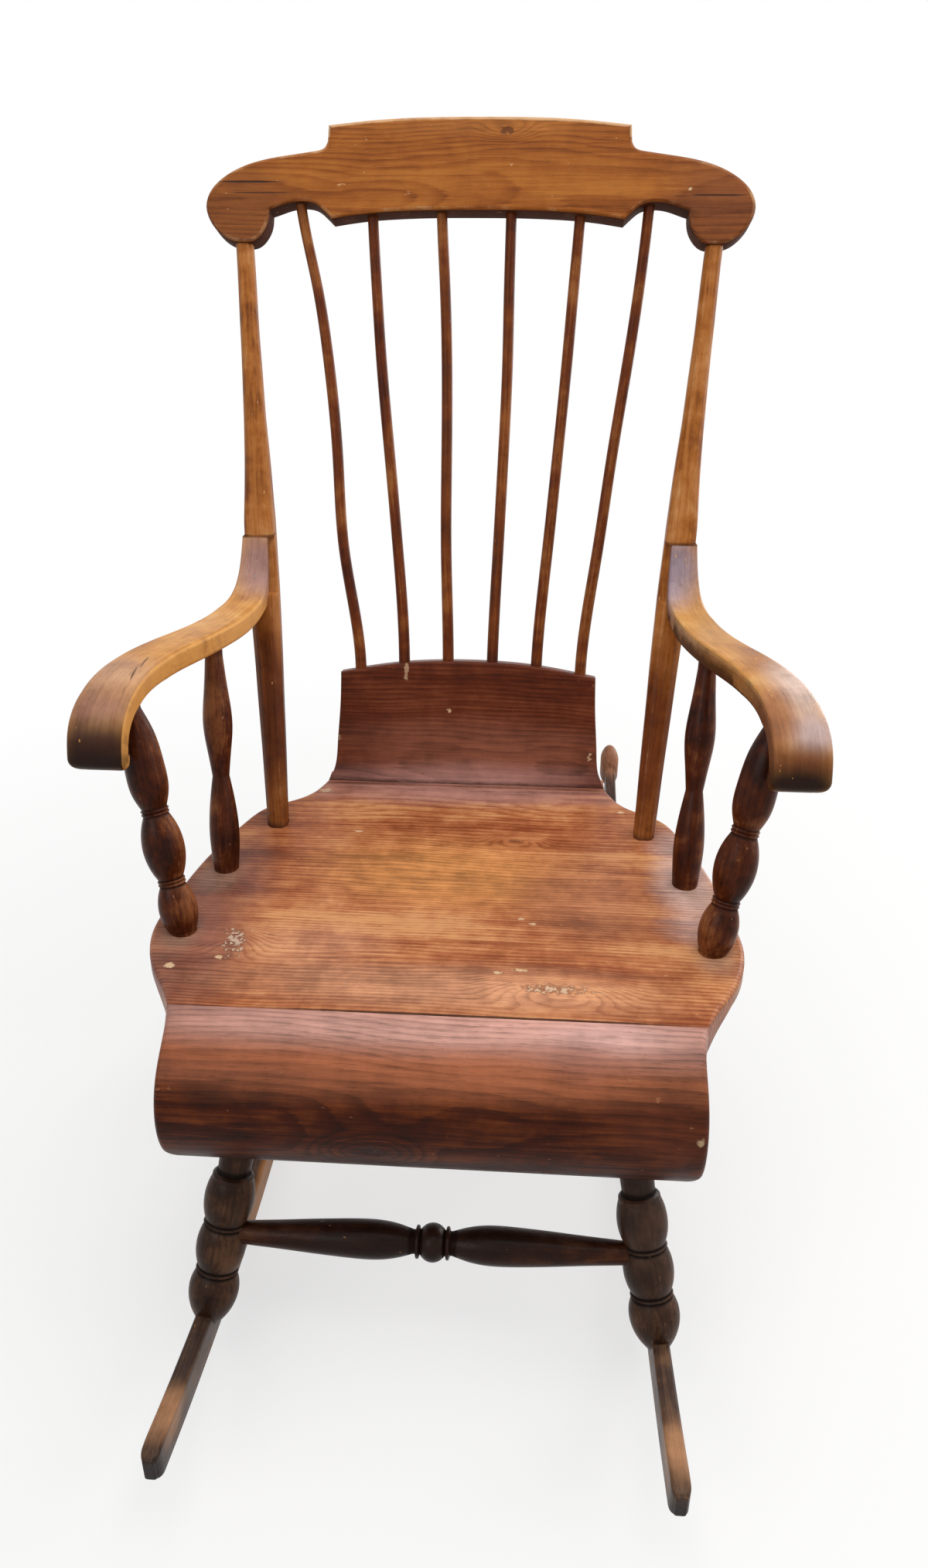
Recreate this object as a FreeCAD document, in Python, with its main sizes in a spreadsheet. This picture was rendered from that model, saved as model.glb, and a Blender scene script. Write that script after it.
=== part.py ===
import FreeCAD, Part
import math
import os
from types import SimpleNamespace

# A wooden rocking chair with a shaped crest rail on two posts, six slender
# back spindles, a plank seat with a rolled front and an upturned rear board,
# bent arms on turned spindles, turned legs and long slender rockers.
# The front of the chair faces -Y, +Z is up and the floor is at zero.
# The origin lies on the floor under the middle of the chair's outer box.

os.makedirs("parts", exist_ok=True)

SIZES = {
    # play between a tenon and its socket, and how far a cut runs past a face
    "fit_gap": 0.15,
    "socket_end_gap": 1.0,
    "overrun": 10.0,
    # rockers
    "rocker_length": 1170.0,
    "rocker_spacing": 417.0,
    "rocker_thickness": 16.0,
    "rocker_height": 31.0,
    "rocker_front_radius": 1820.0,
    "rocker_rear_radius": 1820.0,
    "rocker_contact_y": -115.0,
    "rocker_tip_low_rounding": 8.0,
    "rocker_tip_high_rounding": 12.0,
    "knob_width": 32.0,
    "knob_length": 52.0,
    "knob_height": 60.0,
    "knob_rise": 3.0,
    # seat plank
    "seat_height": 357.0,
    "plank_thickness": 34.0,
    "plank_front_y": -358.0,
    "plank_half_width": 280.0,
    "plank_under_bevel": 18.0,
    "plank_rounding": 4.0,
    # rolled front board of the seat
    "roll_side_inset": 48.0,
    "roll_radius": 73.0,
    "roll_centre_drop": 44.0,
    "roll_foot_depth": 31.0,
    "roll_back_rise": 55.0,
    "roll_corner_rounding": 12.0,
    # upturned rear board of the seat
    "riser_foot_y": 71.0,
    "riser_thickness": 24.0,
    "riser_height": 132.0,
    "riser_crown": 16.0,
    "riser_foot_half_width": 165.0,
    "riser_side_taper": 15.5,
    "riser_hollow": 3.5,
    "riser_lean_angle": 13.4,
    "riser_rounding": 3.0,
    # dowels that join the three boards of the seat
    "dowel_diameter": 8.0,
    "dowel_length": 36.0,
    "dowel_spacing": 95.0,
    # crest rail
    "crest_set_back": 163.0,
    "crest_rise": 610.0,
    "crest_half_width": 300.0,
    "crest_height": 107.0,
    "crest_thickness": 28.0,
    "crest_lean_angle": 20.1,
    # back posts
    "post_foot_inset": 77.2,
    "post_foot_set": 107.0,
    "post_top_inset": 40.0,
    "post_foot_width": 21.6,
    "post_foot_depth": 21.6,
    "post_arm_width": 33.0,
    "post_arm_depth": 26.6,
    "post_neck_width": 23.4,
    "post_neck_depth": 22.0,
    "post_slim_width": 19.9,
    "post_slim_depth": 20.0,
    "post_top_width": 18.4,
    "post_top_depth": 18.4,
    "post_seat_tenon_diameter": 17.0,
    "post_seat_tenon_length": 26.0,
    "post_crest_tenon_diameter": 12.0,
    "post_crest_tenon_length": 26.0,
    "post_arm_zone_below": 62.0,
    "post_arm_zone_above": 16.0,
    "post_neck_rise": 127.0,
    "post_slim_rise": 216.0,
    # back spindles
    "spindle_foot_inset": 20.25,
    "spindle_top_inset": 110.25,
    "spindle_foot_shift": 2.4,
    "spindle_foot_diameter": 13.0,
    "spindle_top_diameter": 11.8,
    "spindle_foot_tenon": 20.0,
    "spindle_top_reach": 36.0,
    "spindle_bow": 9.0,
    # arms
    "arm_rest_rise": 245.0,
    "arm_joint_rise": 47.0,
    "arm_front_set": 95.0,
    "arm_roll_drop": 61.0,
    "arm_thickness": 21.0,
    "arm_lap_depth": 9.0,
    "arm_joint_inset": 11.9,
    "arm_joint_width": 27.0,
    "arm_flare": 61.0,
    "arm_front_width": 50.0,
    "arm_bead_size": 18.0,
    # pegs from the arm into the post
    "arm_peg_diameter": 5.0,
    "arm_peg_post_depth": 12.0,
    "arm_peg_spacing": 16.0,
    "arm_peg_drop": 26.0,
    # turned spindles under the front of the arms
    "front_spindle_foot_inset": 30.5,
    "front_spindle_foot_set": 110.0,
    "front_spindle_rake": 49.0,
    "front_spindle_foot_diameter": 25.7,
    "front_spindle_low_bulb_diameter": 36.0,
    "front_spindle_middle_bulb_diameter": 38.6,
    "front_spindle_high_bulb_diameter": 36.4,
    "front_spindle_ring_diameter": 26.0,
    "front_spindle_groove_diameter": 23.0,
    "front_spindle_ring_width": 3.0,
    "front_spindle_top_diameter": 18.0,
    # turned spindles under the rear of the arms
    "rear_spindle_foot_inset": 43.0,
    "rear_spindle_foot_set": 225.0,
    "rear_spindle_rake": 64.0,
    "rear_spindle_foot_diameter": 25.7,
    "rear_spindle_bulb_diameter": 30.2,
    "rear_spindle_high_bulb_diameter": 29.6,
    "rear_spindle_neck_diameter": 17.2,
    "rear_spindle_top_diameter": 18.0,
    "arm_spindle_foot_tenon": 24.0,
    "arm_spindle_top_tenon": 12.0,
    # turned legs
    "front_leg_top_inset": 120.0,
    "front_leg_top_set": 40.0,
    "front_leg_rake": 103.0,
    "rear_leg_top_inset": 130.0,
    "rear_leg_top_set": 70.0,
    "rear_leg_rake": 112.0,
    "leg_cheek_depth": 15.0,
    "leg_foot_diameter": 22.0,
    "leg_bulb_diameter": 46.0,
    "leg_bulb_length": 42.5,
    "leg_ring_diameter": 40.0,
    "leg_groove_diameter": 36.0,
    "leg_ring_width": 3.0,
    "leg_collar_diameter": 38.0,
    "leg_neck_diameter": 30.0,
    "leg_swell_diameter": 35.0,
    "leg_top_diameter": 26.0,
    "leg_seat_tenon": 22.0,
    "leg_pin_diameter": 4.0,
    "leg_pin_length": 25.0,
    "leg_pin_drop": 8.0,
    # stretchers between the legs
    "stretcher_height": 123.0,
    "stretcher_end_diameter": 21.0,
    "stretcher_bulge_diameter": 34.0,
    "stretcher_bead_diameter": 34.0,
    "stretcher_bead_length": 23.0,
    "stretcher_ring_diameter": 29.0,
    "stretcher_groove_diameter": 21.0,
    "stretcher_ring_width": 3.6,
    "stretcher_tenon_reach": 5.0,
}

doc = FreeCAD.newDocument("rocking_chair")
sheet = doc.addObject("Spreadsheet::Sheet", "sizes")
for row, (name, value) in enumerate(SIZES.items(), 1):
    sheet.set("A%d" % row, name)
    sheet.set("B%d" % row, str(value))
    sheet.setAlias("B%d" % row, name)
doc.recompute()
n = SimpleNamespace(**{name: float(sheet.get(name)) for name in SIZES})

V = FreeCAD.Vector
X_AXIS = V(1, 0, 0)
Y_AXIS = V(0, 1, 0)
Z_AXIS = V(0, 0, 1)
SIDES = (("left", -1), ("right", 1))
nodes = []


def node(obj, name):
    """Names a finished piece and keeps it for writing."""
    obj.Label = name
    nodes.append(obj)
    return obj


def bind(obj, prop, expression):
    obj.setExpression(prop, expression)
    return obj


def new_body(name, placement=None):
    body = doc.addObject("PartDesign::Body", name)
    if placement is not None:
        body.Placement = placement
    return body


def new_sketch(body, name, role, offset=0):
    sk = body.newObject("Sketcher::SketchObject", name)
    plane = [f for f in body.Origin.OriginFeatures if f.Role == role][0]
    sk.AttachmentSupport = [(plane, "")]
    sk.MapMode = "FlatFace"
    if offset:
        sk.AttachmentOffset = FreeCAD.Placement(V(0, 0, offset), FreeCAD.Rotation())
    return sk


def flat(point):
    return V(point[0], point[1], 0)


def line(sk, a, b):
    sk.addGeometry(Part.LineSegment(flat(a), flat(b)), False)


def arc(sk, a, m, b):
    sk.addGeometry(Part.Arc(flat(a), flat(m), flat(b)), False)


def spline(sk, points):
    curve = Part.BSplineCurve()
    curve.interpolate([flat(p) for p in points])
    sk.addGeometry(curve, False)


def path(sk, points):
    for a, b in zip(points, points[1:]):
        line(sk, a, b)


def frame_box(sk, low, high):
    """A rectangle round an outline, so that a cut leaves only the outline."""
    corners = [low, (high[0], low[1]), high, (low[0], high[1]), low]
    path(sk, corners)


def pad(body, sk, expression, reverse=False, both=False):
    feature = body.newObject("PartDesign::Pad", sk.Name + "_pad")
    feature.Profile = sk
    bind(feature, "Length", expression)
    if both:
        feature.SideType = "Symmetric"
    feature.Reversed = reverse
    sk.Visibility = False
    doc.recompute()
    return feature


def trim_through(body, sk):
    """Cuts a sketch through the whole body, both ways."""
    before = body.Shape.Volume
    feature = body.newObject("PartDesign::Pocket", sk.Name + "_cut")
    feature.Profile = sk
    feature.Type = "ThroughAll"
    feature.SideType = "Symmetric"
    doc.recompute()
    if not body.Shape.Volume < before:
        raise RuntimeError(sk.Name + " cut nothing")
    return feature


def revolve(body, sk):
    feature = body.newObject("PartDesign::Revolution", sk.Name + "_turn")
    feature.Profile = sk
    feature.ReferenceAxis = (sk, ["V_Axis"])
    feature.Angle = 360
    doc.recompute()
    return feature


def edge_names(shape, wanted):
    """Names of the edges of a shape that a test picks out."""
    names = ["Edge%d" % i for i, edge in enumerate(shape.Edges, 1) if wanted(edge)]
    if not names:
        raise RuntimeError("no edge picked")
    return names


def round_edges(body, feature, edges, expression):
    fillet = body.newObject("PartDesign::Fillet", body.Name + "_rounding")
    fillet.Base = (feature, edges)
    bind(fillet, "Radius", expression)
    doc.recompute()
    return fillet


def bevel_edges(body, feature, edges, expression):
    chamfer = body.newObject("PartDesign::Chamfer", body.Name + "_bevel")
    chamfer.Base = (feature, edges)
    bind(chamfer, "Size", expression)
    doc.recompute()
    return chamfer


def rounded_corner(sk, a, corner, b):
    """An arc from a to b that is drawn out towards the corner between them."""
    round_share = 0.41
    chord = ((a[0] + b[0]) / 2, (a[1] + b[1]) / 2)
    arc(sk, a, (mix(chord[0], corner[0], round_share), mix(chord[1], corner[1], round_share)), b)


def turned_curve(sk, start, end, widest, shares):
    """A smooth turned outline from start to end, both given as (radius, height).

    Each pair of shares gives how far the outline swells from the straight line
    between the ends to the widest radius, and how far along it lies.
    """
    points = [start]
    for swell, way in shares:
        points.append((mix(mix(start[0], end[0], way), widest, swell), mix(start[1], end[1], way)))
    points.append(end)
    spline(sk, points)


def along(point, direction):
    """Placement that carries a +Z piece to a point and turns it along a line."""
    return FreeCAD.Placement(point, FreeCAD.Rotation(Z_AXIS, direction))


def rod(name, start, end, radius):
    """A round bar from start to end; its radius is an expression of the sizes."""
    bar = doc.addObject("Part::Cylinder", name)
    bind(bar, "Radius", radius)
    bar.Height = (end - start).Length
    bar.Placement = along(start, end - start)
    return bar


def cut(name, base, tools):
    result = doc.addObject("Part::Cut", name)
    result.Base = base
    if len(tools) == 1:
        result.Tool = tools[0]
    else:
        group = doc.addObject("Part::MultiFuse", name + "_tools")
        group.Shapes = tools
        result.Tool = group
    return result


def fuse(name, pieces):
    result = doc.addObject("Part::MultiFuse", name)
    result.Shapes = pieces
    return result


def step(point, direction, distance):
    unit = V(direction)
    unit.normalize()
    return point + unit * distance


def mix(a, b, share):
    return a + (b - a) * share


def lean_frame(origin, angle):
    """A frame at origin that leans back about X by an angle in degrees."""
    return FreeCAD.Placement(origin, FreeCAD.Rotation(X_AXIS, -angle))


# derived places: heights are measured from the seat, widths from the sides of
# the plank, and depths from its front edge or from the foot of the rear board
plank_under = n.seat_height - n.plank_thickness
roll_half_width = n.plank_half_width - n.roll_side_inset
riser_top_half_width = n.riser_foot_half_width - n.riser_side_taper
arm_rest_height = n.seat_height + n.arm_rest_rise
arm_joint_height = arm_rest_height + n.arm_joint_rise
arm_front_y = n.plank_front_y + n.arm_front_set
tip_y = -n.rocker_length / 2
tail_y = n.rocker_length / 2
knob_y = tail_y - n.knob_length / 2
rocker_x = n.rocker_spacing / 2


def rocker_line(y, lift):
    """Height of the rocker's curve at a place, lift above the curve of its sole."""
    radius = n.rocker_front_radius if y < n.rocker_contact_y else n.rocker_rear_radius
    return radius - math.sqrt((radius - lift) ** 2 - (y - n.rocker_contact_y) ** 2)


def rocker_bottom(y):
    return rocker_line(y, 0)


def rocker_top(y):
    return rocker_line(y, n.rocker_height)


riser_frame = lean_frame(V(0, n.riser_foot_y, n.seat_height), n.riser_lean_angle)
crest_frame = lean_frame(
    V(0, n.riser_foot_y + n.crest_set_back, n.seat_height + n.crest_rise), n.crest_lean_angle,
)
ear_low_share = -0.236
ear_low = ear_low_share * n.crest_height

# back posts: from the seat plank up into the ears of the crest rail
post_foot = V(n.plank_half_width - n.post_foot_inset, n.riser_foot_y - n.post_foot_set, n.seat_height)
post_top_x = n.crest_half_width - n.post_top_inset
post_top = crest_frame.multVec(V(post_top_x, n.crest_thickness / 2, ear_low + n.post_crest_tenon_length / 2))
post_axis = post_top - post_foot
post_length = post_axis.Length
post_axis.normalize()
post_side = X_AXIS - post_axis * X_AXIS.dot(post_axis)
post_side.normalize()
post_back = post_axis.cross(post_side)


def post_at_height(z):
    return post_foot + post_axis * ((z - n.seat_height) / post_axis.z)


def post_front_y(z):
    """Y of the post's flat front face at a height beside the arm."""
    middle = post_at_height(z)
    return middle.y - n.post_arm_depth / 2 / post_back.y


def mirrored(point, side):
    return V(point.x * side, point.y, point.z)


# seat plank
# side edge, from the front corner to the ear of the seat: share of the half
# width, share of the depth from the front edge to the foot of the rear board
plank_side_shares = (
    (0.872, 0.055), (0.936, 0.125), (0.984, 0.206), (1.000, 0.278), (0.989, 0.372),
    (0.957, 0.524), (0.907, 0.665), (0.850, 0.780),
)
# cove from the ear to the foot of the rear board: share of the way out from the
# end of that foot to the ear, share of the depth
plank_cove_shares = ((0.865, 0.826), (0.637, 0.862), (0.348, 0.898), (0.133, 0.948))
plank_depth = n.riser_foot_y - n.plank_front_y
plank_rear_y = n.riser_foot_y + n.riser_thickness / math.cos(math.radians(n.riser_lean_angle))


def plank_points(shares):
    return [(n.plank_half_width * a, n.plank_front_y + plank_depth * b) for a, b in shares]


plank_body = new_body("plank_board", FreeCAD.Placement(V(0, 0, n.seat_height), FreeCAD.Rotation()))
sk = new_sketch(plank_body, "plank_outline", "XY_Plane")
front_corner = (roll_half_width, n.plank_front_y)
rear_foot = (n.riser_foot_half_width, n.riser_foot_y)
rear_corner = (n.riser_foot_half_width, plank_rear_y)
side_points = [front_corner] + plank_points(plank_side_shares)
ear = side_points[-1]
cove_points = [ear]
for share, depth_share in plank_cove_shares:
    cove_points.append((mix(rear_foot[0], ear[0], share), n.plank_front_y + plank_depth * depth_share))
cove_points.append(rear_foot)
for side in (1, -1):
    spline(sk, [(x * side, y) for x, y in side_points])
    spline(sk, [(x * side, y) for x, y in cove_points])
    line(sk, (rear_foot[0] * side, rear_foot[1]), (rear_corner[0] * side, rear_corner[1]))
line(sk, (-front_corner[0], front_corner[1]), front_corner)
line(sk, (-rear_corner[0], rear_corner[1]), rear_corner)
plank_pad = pad(plank_body, sk, "sizes.plank_thickness", reverse=True)


def along_plank_side(edge):
    box = edge.BoundBox
    level = box.ZLength < n.fit_gap
    return level and box.YLength > 2 * n.riser_thickness and abs(edge.CenterOfMass.x) > n.fit_gap


def plank_top_edge(edge):
    return along_plank_side(edge) and edge.CenterOfMass.z > -n.fit_gap


def plank_under_edge(edge):
    return along_plank_side(edge) and edge.CenterOfMass.z < -n.plank_thickness + n.fit_gap


feature = round_edges(
    plank_body, plank_pad, edge_names(plank_pad.Shape, plank_top_edge), "sizes.plank_rounding",
)
bevel_edges(
    plank_body, feature, edge_names(feature.Shape, plank_under_edge), "sizes.plank_under_bevel",
)

# rolled front of the seat
roll_body = new_body("roll_board")
sk = new_sketch(roll_body, "roll_profile", "YZ_Plane")
roll_centre_z = n.seat_height - n.roll_radius
roll_low_z = roll_centre_z - n.roll_centre_drop
roll_end_angle = math.asin(n.roll_centre_drop / n.roll_radius)
roll_foot_front = (n.plank_front_y - n.roll_radius * math.cos(roll_end_angle), roll_low_z)
roll_mid_angle = (roll_end_angle - math.pi / 2) / 2
roll_mid = (
    n.plank_front_y - n.roll_radius * math.cos(roll_mid_angle),
    roll_centre_z - n.roll_radius * math.sin(roll_mid_angle),
)
roll_foot_back = (roll_foot_front[0] + n.roll_foot_depth, roll_foot_front[1])
roll_back = (n.plank_front_y, roll_low_z + n.roll_back_rise)
arc(sk, (n.plank_front_y, n.seat_height), roll_mid, roll_foot_front)
path(sk, [roll_foot_front, roll_foot_back, roll_back, (n.plank_front_y, n.seat_height)])
pad(roll_body, sk, "2 * (sizes.plank_half_width + sizes.overrun)", both=True)
sk = new_sketch(roll_body, "roll_outline", "XY_Plane")
# ends of the roll seen from above: share of the half width, share of the radius
roll_end_shares = ((1.0, 0.0), (0.983, 0.30), (0.981, 0.62), (0.987, 0.95), (0.988, 1.15))
roll_end = [(roll_half_width * a, n.plank_front_y - n.roll_radius * b) for a, b in roll_end_shares]
rear_y = n.plank_front_y + n.overrun
for side in (1, -1):
    spline(sk, [(x * side, y) for x, y in roll_end])
    line(sk, (roll_end[0][0] * side, rear_y), (roll_end[0][0] * side, n.plank_front_y))
line(sk, (-roll_end[0][0], rear_y), (roll_end[0][0], rear_y))
line(sk, (-roll_end[-1][0], roll_end[-1][1]), roll_end[-1])
roll_wide = n.plank_half_width + 2 * n.overrun
frame_box(sk, (-roll_wide, roll_end[-1][1] - n.overrun), (roll_wide, rear_y + n.overrun))
trim_through(roll_body, sk)
sk = new_sketch(roll_body, "roll_front_outline", "XZ_Plane")
roll_side_z = roll_low_z + n.roll_corner_rounding
roll_corner_x = roll_half_width * roll_end_shares[-1][0] - n.roll_corner_rounding
roll_side_x = roll_corner_x + n.roll_corner_rounding
for side in (1, -1):
    rounded_corner(
        sk, (roll_side_x * side, roll_side_z), (roll_side_x * side, roll_low_z), (roll_corner_x * side, roll_low_z),
    )
    line(sk, (roll_side_x * side, roll_side_z), (roll_half_width * side, roll_centre_z))
    line(sk, (roll_half_width * side, roll_centre_z), (roll_half_width * side, n.seat_height + n.overrun))
line(sk, (-roll_corner_x, roll_low_z), (roll_corner_x, roll_low_z))
line(sk, (-roll_half_width, n.seat_height + n.overrun), (roll_half_width, n.seat_height + n.overrun))
frame_box(sk, (-roll_wide, roll_low_z - n.overrun), (roll_wide, n.seat_height + 2 * n.overrun))
trim_through(roll_body, sk)

# upturned rear of the seat
riser_body = new_body("riser_board", riser_frame)
sk = new_sketch(riser_body, "riser_profile", "YZ_Plane")
lean = math.radians(n.riser_lean_angle)


def riser_flat(depth):
    """A point on the plank's top face, in the leaning frame of the rear board."""
    return (depth * math.cos(lean), depth * math.sin(lean))


riser_full_height = n.riser_height + n.riser_crown + n.overrun
riser_base_depth = n.riser_thickness / math.cos(lean)
hollow_share = 0.42
arc(sk, (0, 0), (n.riser_hollow, n.riser_height * hollow_share), (0, n.riser_height))
path(sk, [
    (0, n.riser_height), (0, riser_full_height), (n.riser_thickness, riser_full_height),
    riser_flat(riser_base_depth), (0, 0),
])
pad(riser_body, sk, "2 * (sizes.riser_foot_half_width + sizes.overrun)", both=True)
sk = new_sketch(riser_body, "riser_outline", "XZ_Plane")
# flare at the foot of the rear board: share of the flare, share of the height
riser_flare_shares = ((0.60, 0.10), (0.32, 0.34), (0.10, 0.68), (0.0, 1.0))
riser_side = [(n.riser_foot_half_width, 0)]
riser_side += [
    (riser_top_half_width + n.riser_side_taper * a, n.riser_height * b) for a, b in riser_flare_shares
]
shoulder_share, shoulder_rise_share = 0.55, 0.72
riser_shoulder = (
    riser_top_half_width * shoulder_share, n.riser_height + n.riser_crown * shoulder_rise_share,
)
for side in (1, -1):
    spline(sk, [(x * side, z) for x, z in riser_side])
    line(sk, (n.riser_foot_half_width * side, 0), (n.riser_foot_half_width * side, -n.overrun))
corner = (riser_top_half_width, n.riser_height)
spline(sk, [
    (-corner[0], corner[1]), (-riser_shoulder[0], riser_shoulder[1]),
    (0, n.riser_height + n.riser_crown), riser_shoulder, corner,
])
line(sk, (-n.riser_foot_half_width, -n.overrun), (n.riser_foot_half_width, -n.overrun))
frame_half = n.riser_foot_half_width + 2 * n.overrun
frame_box(sk, (-frame_half, -2 * n.overrun), (frame_half, riser_full_height + n.overrun))
riser_cut = trim_through(riser_body, sk)


def riser_top_edge(edge):
    return edge.BoundBox.XLength > riser_top_half_width and edge.CenterOfMass.z > n.riser_height


round_edges(
    riser_body, riser_cut, edge_names(riser_cut.Shape, riser_top_edge), "sizes.riser_rounding",
)

# crest rail
crest_body = new_body("crest_board", crest_frame)
sk = new_sketch(crest_body, "crest_outline", "XZ_Plane")
# one half of the outline: share of the half width, share of the height
crest_under_shares = ((0.0, 0.091), (0.173, 0.087), (0.305, 0.073), (0.422, 0.046), (0.533, 0.0))
crest_arch_shares = (
    (0.533, 0.0), (0.563, 0.080), (0.594, 0.146), (0.637, 0.172),
    (0.697, 0.152), (0.737, 0.114), (0.763, 0.090),
)
crest_ear_shares = (
    (0.763, 0.090), (0.766, -0.015), (0.785, -0.136), (0.820, -0.222), (0.860, ear_low_share),
    (0.906, -0.218), (0.958, -0.120), (0.987, -0.008), (1.000, 0.120), (0.983, 0.278),
    (0.941, 0.400), (0.873, 0.509), (0.800, 0.576), (0.663, 0.642), (0.588, 0.673),
)
crest_step_shares = ((0.588, 0.673), (0.562, 0.704), (0.551, 0.765))
crest_corner_shares = ((0.551, 0.765), (0.548, 0.920))
crest_top_shares = ((0.548, 0.920), (0.373, 0.970), (0.190, 0.995), (0.0, 1.0))


def crest_points(shares, side=1):
    return [(n.crest_half_width * a * side, n.crest_height * b) for a, b in shares]


for side in (1, -1):
    spline(sk, crest_points(crest_arch_shares, side))
    spline(sk, crest_points(crest_ear_shares, side))
    spline(sk, crest_points(crest_step_shares, side))
    line(sk, *crest_points(crest_corner_shares, side))
spline(sk, crest_points(crest_under_shares[::-1], -1) + crest_points(crest_under_shares[1:]))
spline(sk, crest_points(crest_top_shares) + crest_points(crest_top_shares[-2::-1], -1))
pad(crest_body, sk, "sizes.crest_thickness", reverse=True)

# back posts
# eight-sided section: shares of the half width and half depth
section_shares = (
    (-0.55, -1.0), (0.55, -1.0), (1.0, -0.45), (1.0, 0.45),
    (0.55, 1.0), (-0.55, 1.0), (-1.0, 0.45), (-1.0, -0.45),
)


def post_section(body, name, station, width, depth):
    sk = new_sketch(body, name, "XY_Plane", station)
    corners = [(width / 2 * a, depth / 2 * b) for a, b in section_shares]
    path(sk, corners + corners[:1])
    sk.Visibility = False
    return sk


arm_station = (arm_joint_height - n.seat_height) / post_axis.z
post_stations = (
    (-n.overrun, n.post_foot_width, n.post_foot_depth),
    (arm_station - n.post_arm_zone_below, n.post_arm_width, n.post_arm_depth),
    (arm_station + n.post_arm_zone_above, n.post_arm_width, n.post_arm_depth),
    (arm_station + n.post_neck_rise, n.post_neck_width, n.post_neck_depth),
    (arm_station + n.post_slim_rise, n.post_slim_width, n.post_slim_depth),
    (post_length, n.post_top_width, n.post_top_depth),
)


def post_shaft(label, side):
    across = mirrored(post_side, side) * side
    turn = FreeCAD.Rotation(across, mirrored(post_back, side), mirrored(post_axis, side), "ZXY")
    body = new_body("post_shaft_" + label, FreeCAD.Placement(mirrored(post_foot, side), turn))
    sections = [
        post_section(body, "post_section_%s_%d" % (label, i), *station)
        for i, station in enumerate(post_stations)
    ]
    loft = body.newObject("PartDesign::AdditiveLoft", "post_loft_" + label)
    loft.Profile = sections[0]
    loft.Sections = sections[1:]
    loft.Ruled = True
    doc.recompute()
    return body


def slab(name, placement, low, high):
    """A box given by two corners of its own frame."""
    box = doc.addObject("Part::Box", name)
    box.Length = high.x - low.x
    box.Width = high.y - low.y
    box.Height = high.z - low.z
    box.Placement = placement.multiply(FreeCAD.Placement(low, FreeCAD.Rotation()))
    return box


# arms
# top face in side view, from the joint on the post to the end of the roll:
# share of the way from the joint to the front, height as a share
# of the rise to the joint (plus) or of the drop of the roll (minus),
# share of the full thickness
arm_side_shares = (
    (0.0000, 1.000, 0.0), (0.0480, 0.362, 0.0), (0.1048, -0.023, 1.0), (0.2154, -0.167, 1.0),
    (0.3900, -0.129, 1.0), (0.5531, -0.045, 1.0), (0.7365, 0.000, 0.98),
    (0.8908, -0.174, 0.93), (0.9753, -0.591, 0.86), (1.0000, -1.000, 0.80),
)
# plan: share of the way to the front, share of the drift of the inner edge,
# share of the growth in width; straight as far as the second place
arm_plan_shares = (
    (-0.20, 0.0, 0.0), (0.105, 0.0, 0.42), (0.125, 0.006, 0.45), (0.2154, 0.065, 0.60),
    (0.39, 0.220, 0.72), (0.5531, 0.420, 0.93), (0.7365, 0.715, 0.97),
    (0.8908, 0.905, 1.02), (0.9753, 0.970, 1.06), (1.06, 1.0, 1.0),
)
# bead under the end of the roll: shares of its size, back and down
bead_low_shares = (0.55, 0.67)
bead_back_shares = (1.15, 0.12)
arm_joint_y = post_front_y(arm_joint_height)
arm_joint_inner_x = post_at_height(arm_joint_height).x - n.arm_joint_inset
arm_run = arm_front_y - arm_joint_y


def arm_top_point(share, height):
    z = arm_rest_height + (n.arm_joint_rise * height if height > 0 else n.arm_roll_drop * height)
    return V(0, arm_joint_y + arm_run * share, z)


arm_top = [arm_top_point(a, b) for a, b, c in arm_side_shares]
arm_thick = [n.arm_thickness * c for a, b, c in arm_side_shares]
arm_curve = Part.BSplineCurve()
arm_curve.interpolate(arm_top)


def arm_under_point(index):
    """The point below a top point, square to the top face."""
    parameter = arm_curve.parameter(arm_top[index])
    tangent = arm_curve.tangent(parameter)[0]
    down = V(0, -tangent.z, tangent.y)
    return arm_top[index] + down * arm_thick[index]


lap_shift = n.arm_lap_depth / post_back.y
lap_slope = post_axis.y / post_axis.z
arm_under = [arm_under_point(i) for i in range(3, len(arm_top))]
# where the underside meets the lap, above the first place below the rest
under_rise_share = 0.42
lap_low_z = arm_under[0].z + n.arm_thickness * under_rise_share
lap_top = V(0, arm_joint_y + lap_shift, arm_joint_height)
lap_low = V(0, lap_top.y + (lap_low_z - lap_top.z) * lap_slope, lap_low_z)
arm_end_front = arm_top[-1]
arm_end_back = arm_under[-1]


def bead_point(shares):
    return arm_end_front + V(0, n.arm_bead_size * shares[0], -n.arm_bead_size * shares[1])


def yz(point):
    return (point.y, point.z)


def arm_edge_x(share, drift, growth):
    y = arm_joint_y + arm_run * share
    inner = arm_joint_inner_x + n.arm_flare * drift
    width = mix(n.arm_joint_width, n.arm_front_width, growth)
    return (inner, y), (inner + width, y)


arm_inner_edge = [arm_edge_x(*p)[0] for p in arm_plan_shares]
arm_outer_edge = [arm_edge_x(*p)[1] for p in arm_plan_shares]
under_line = [yz(p) for p in arm_under[::-1]] + [yz(lap_low)]


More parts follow.
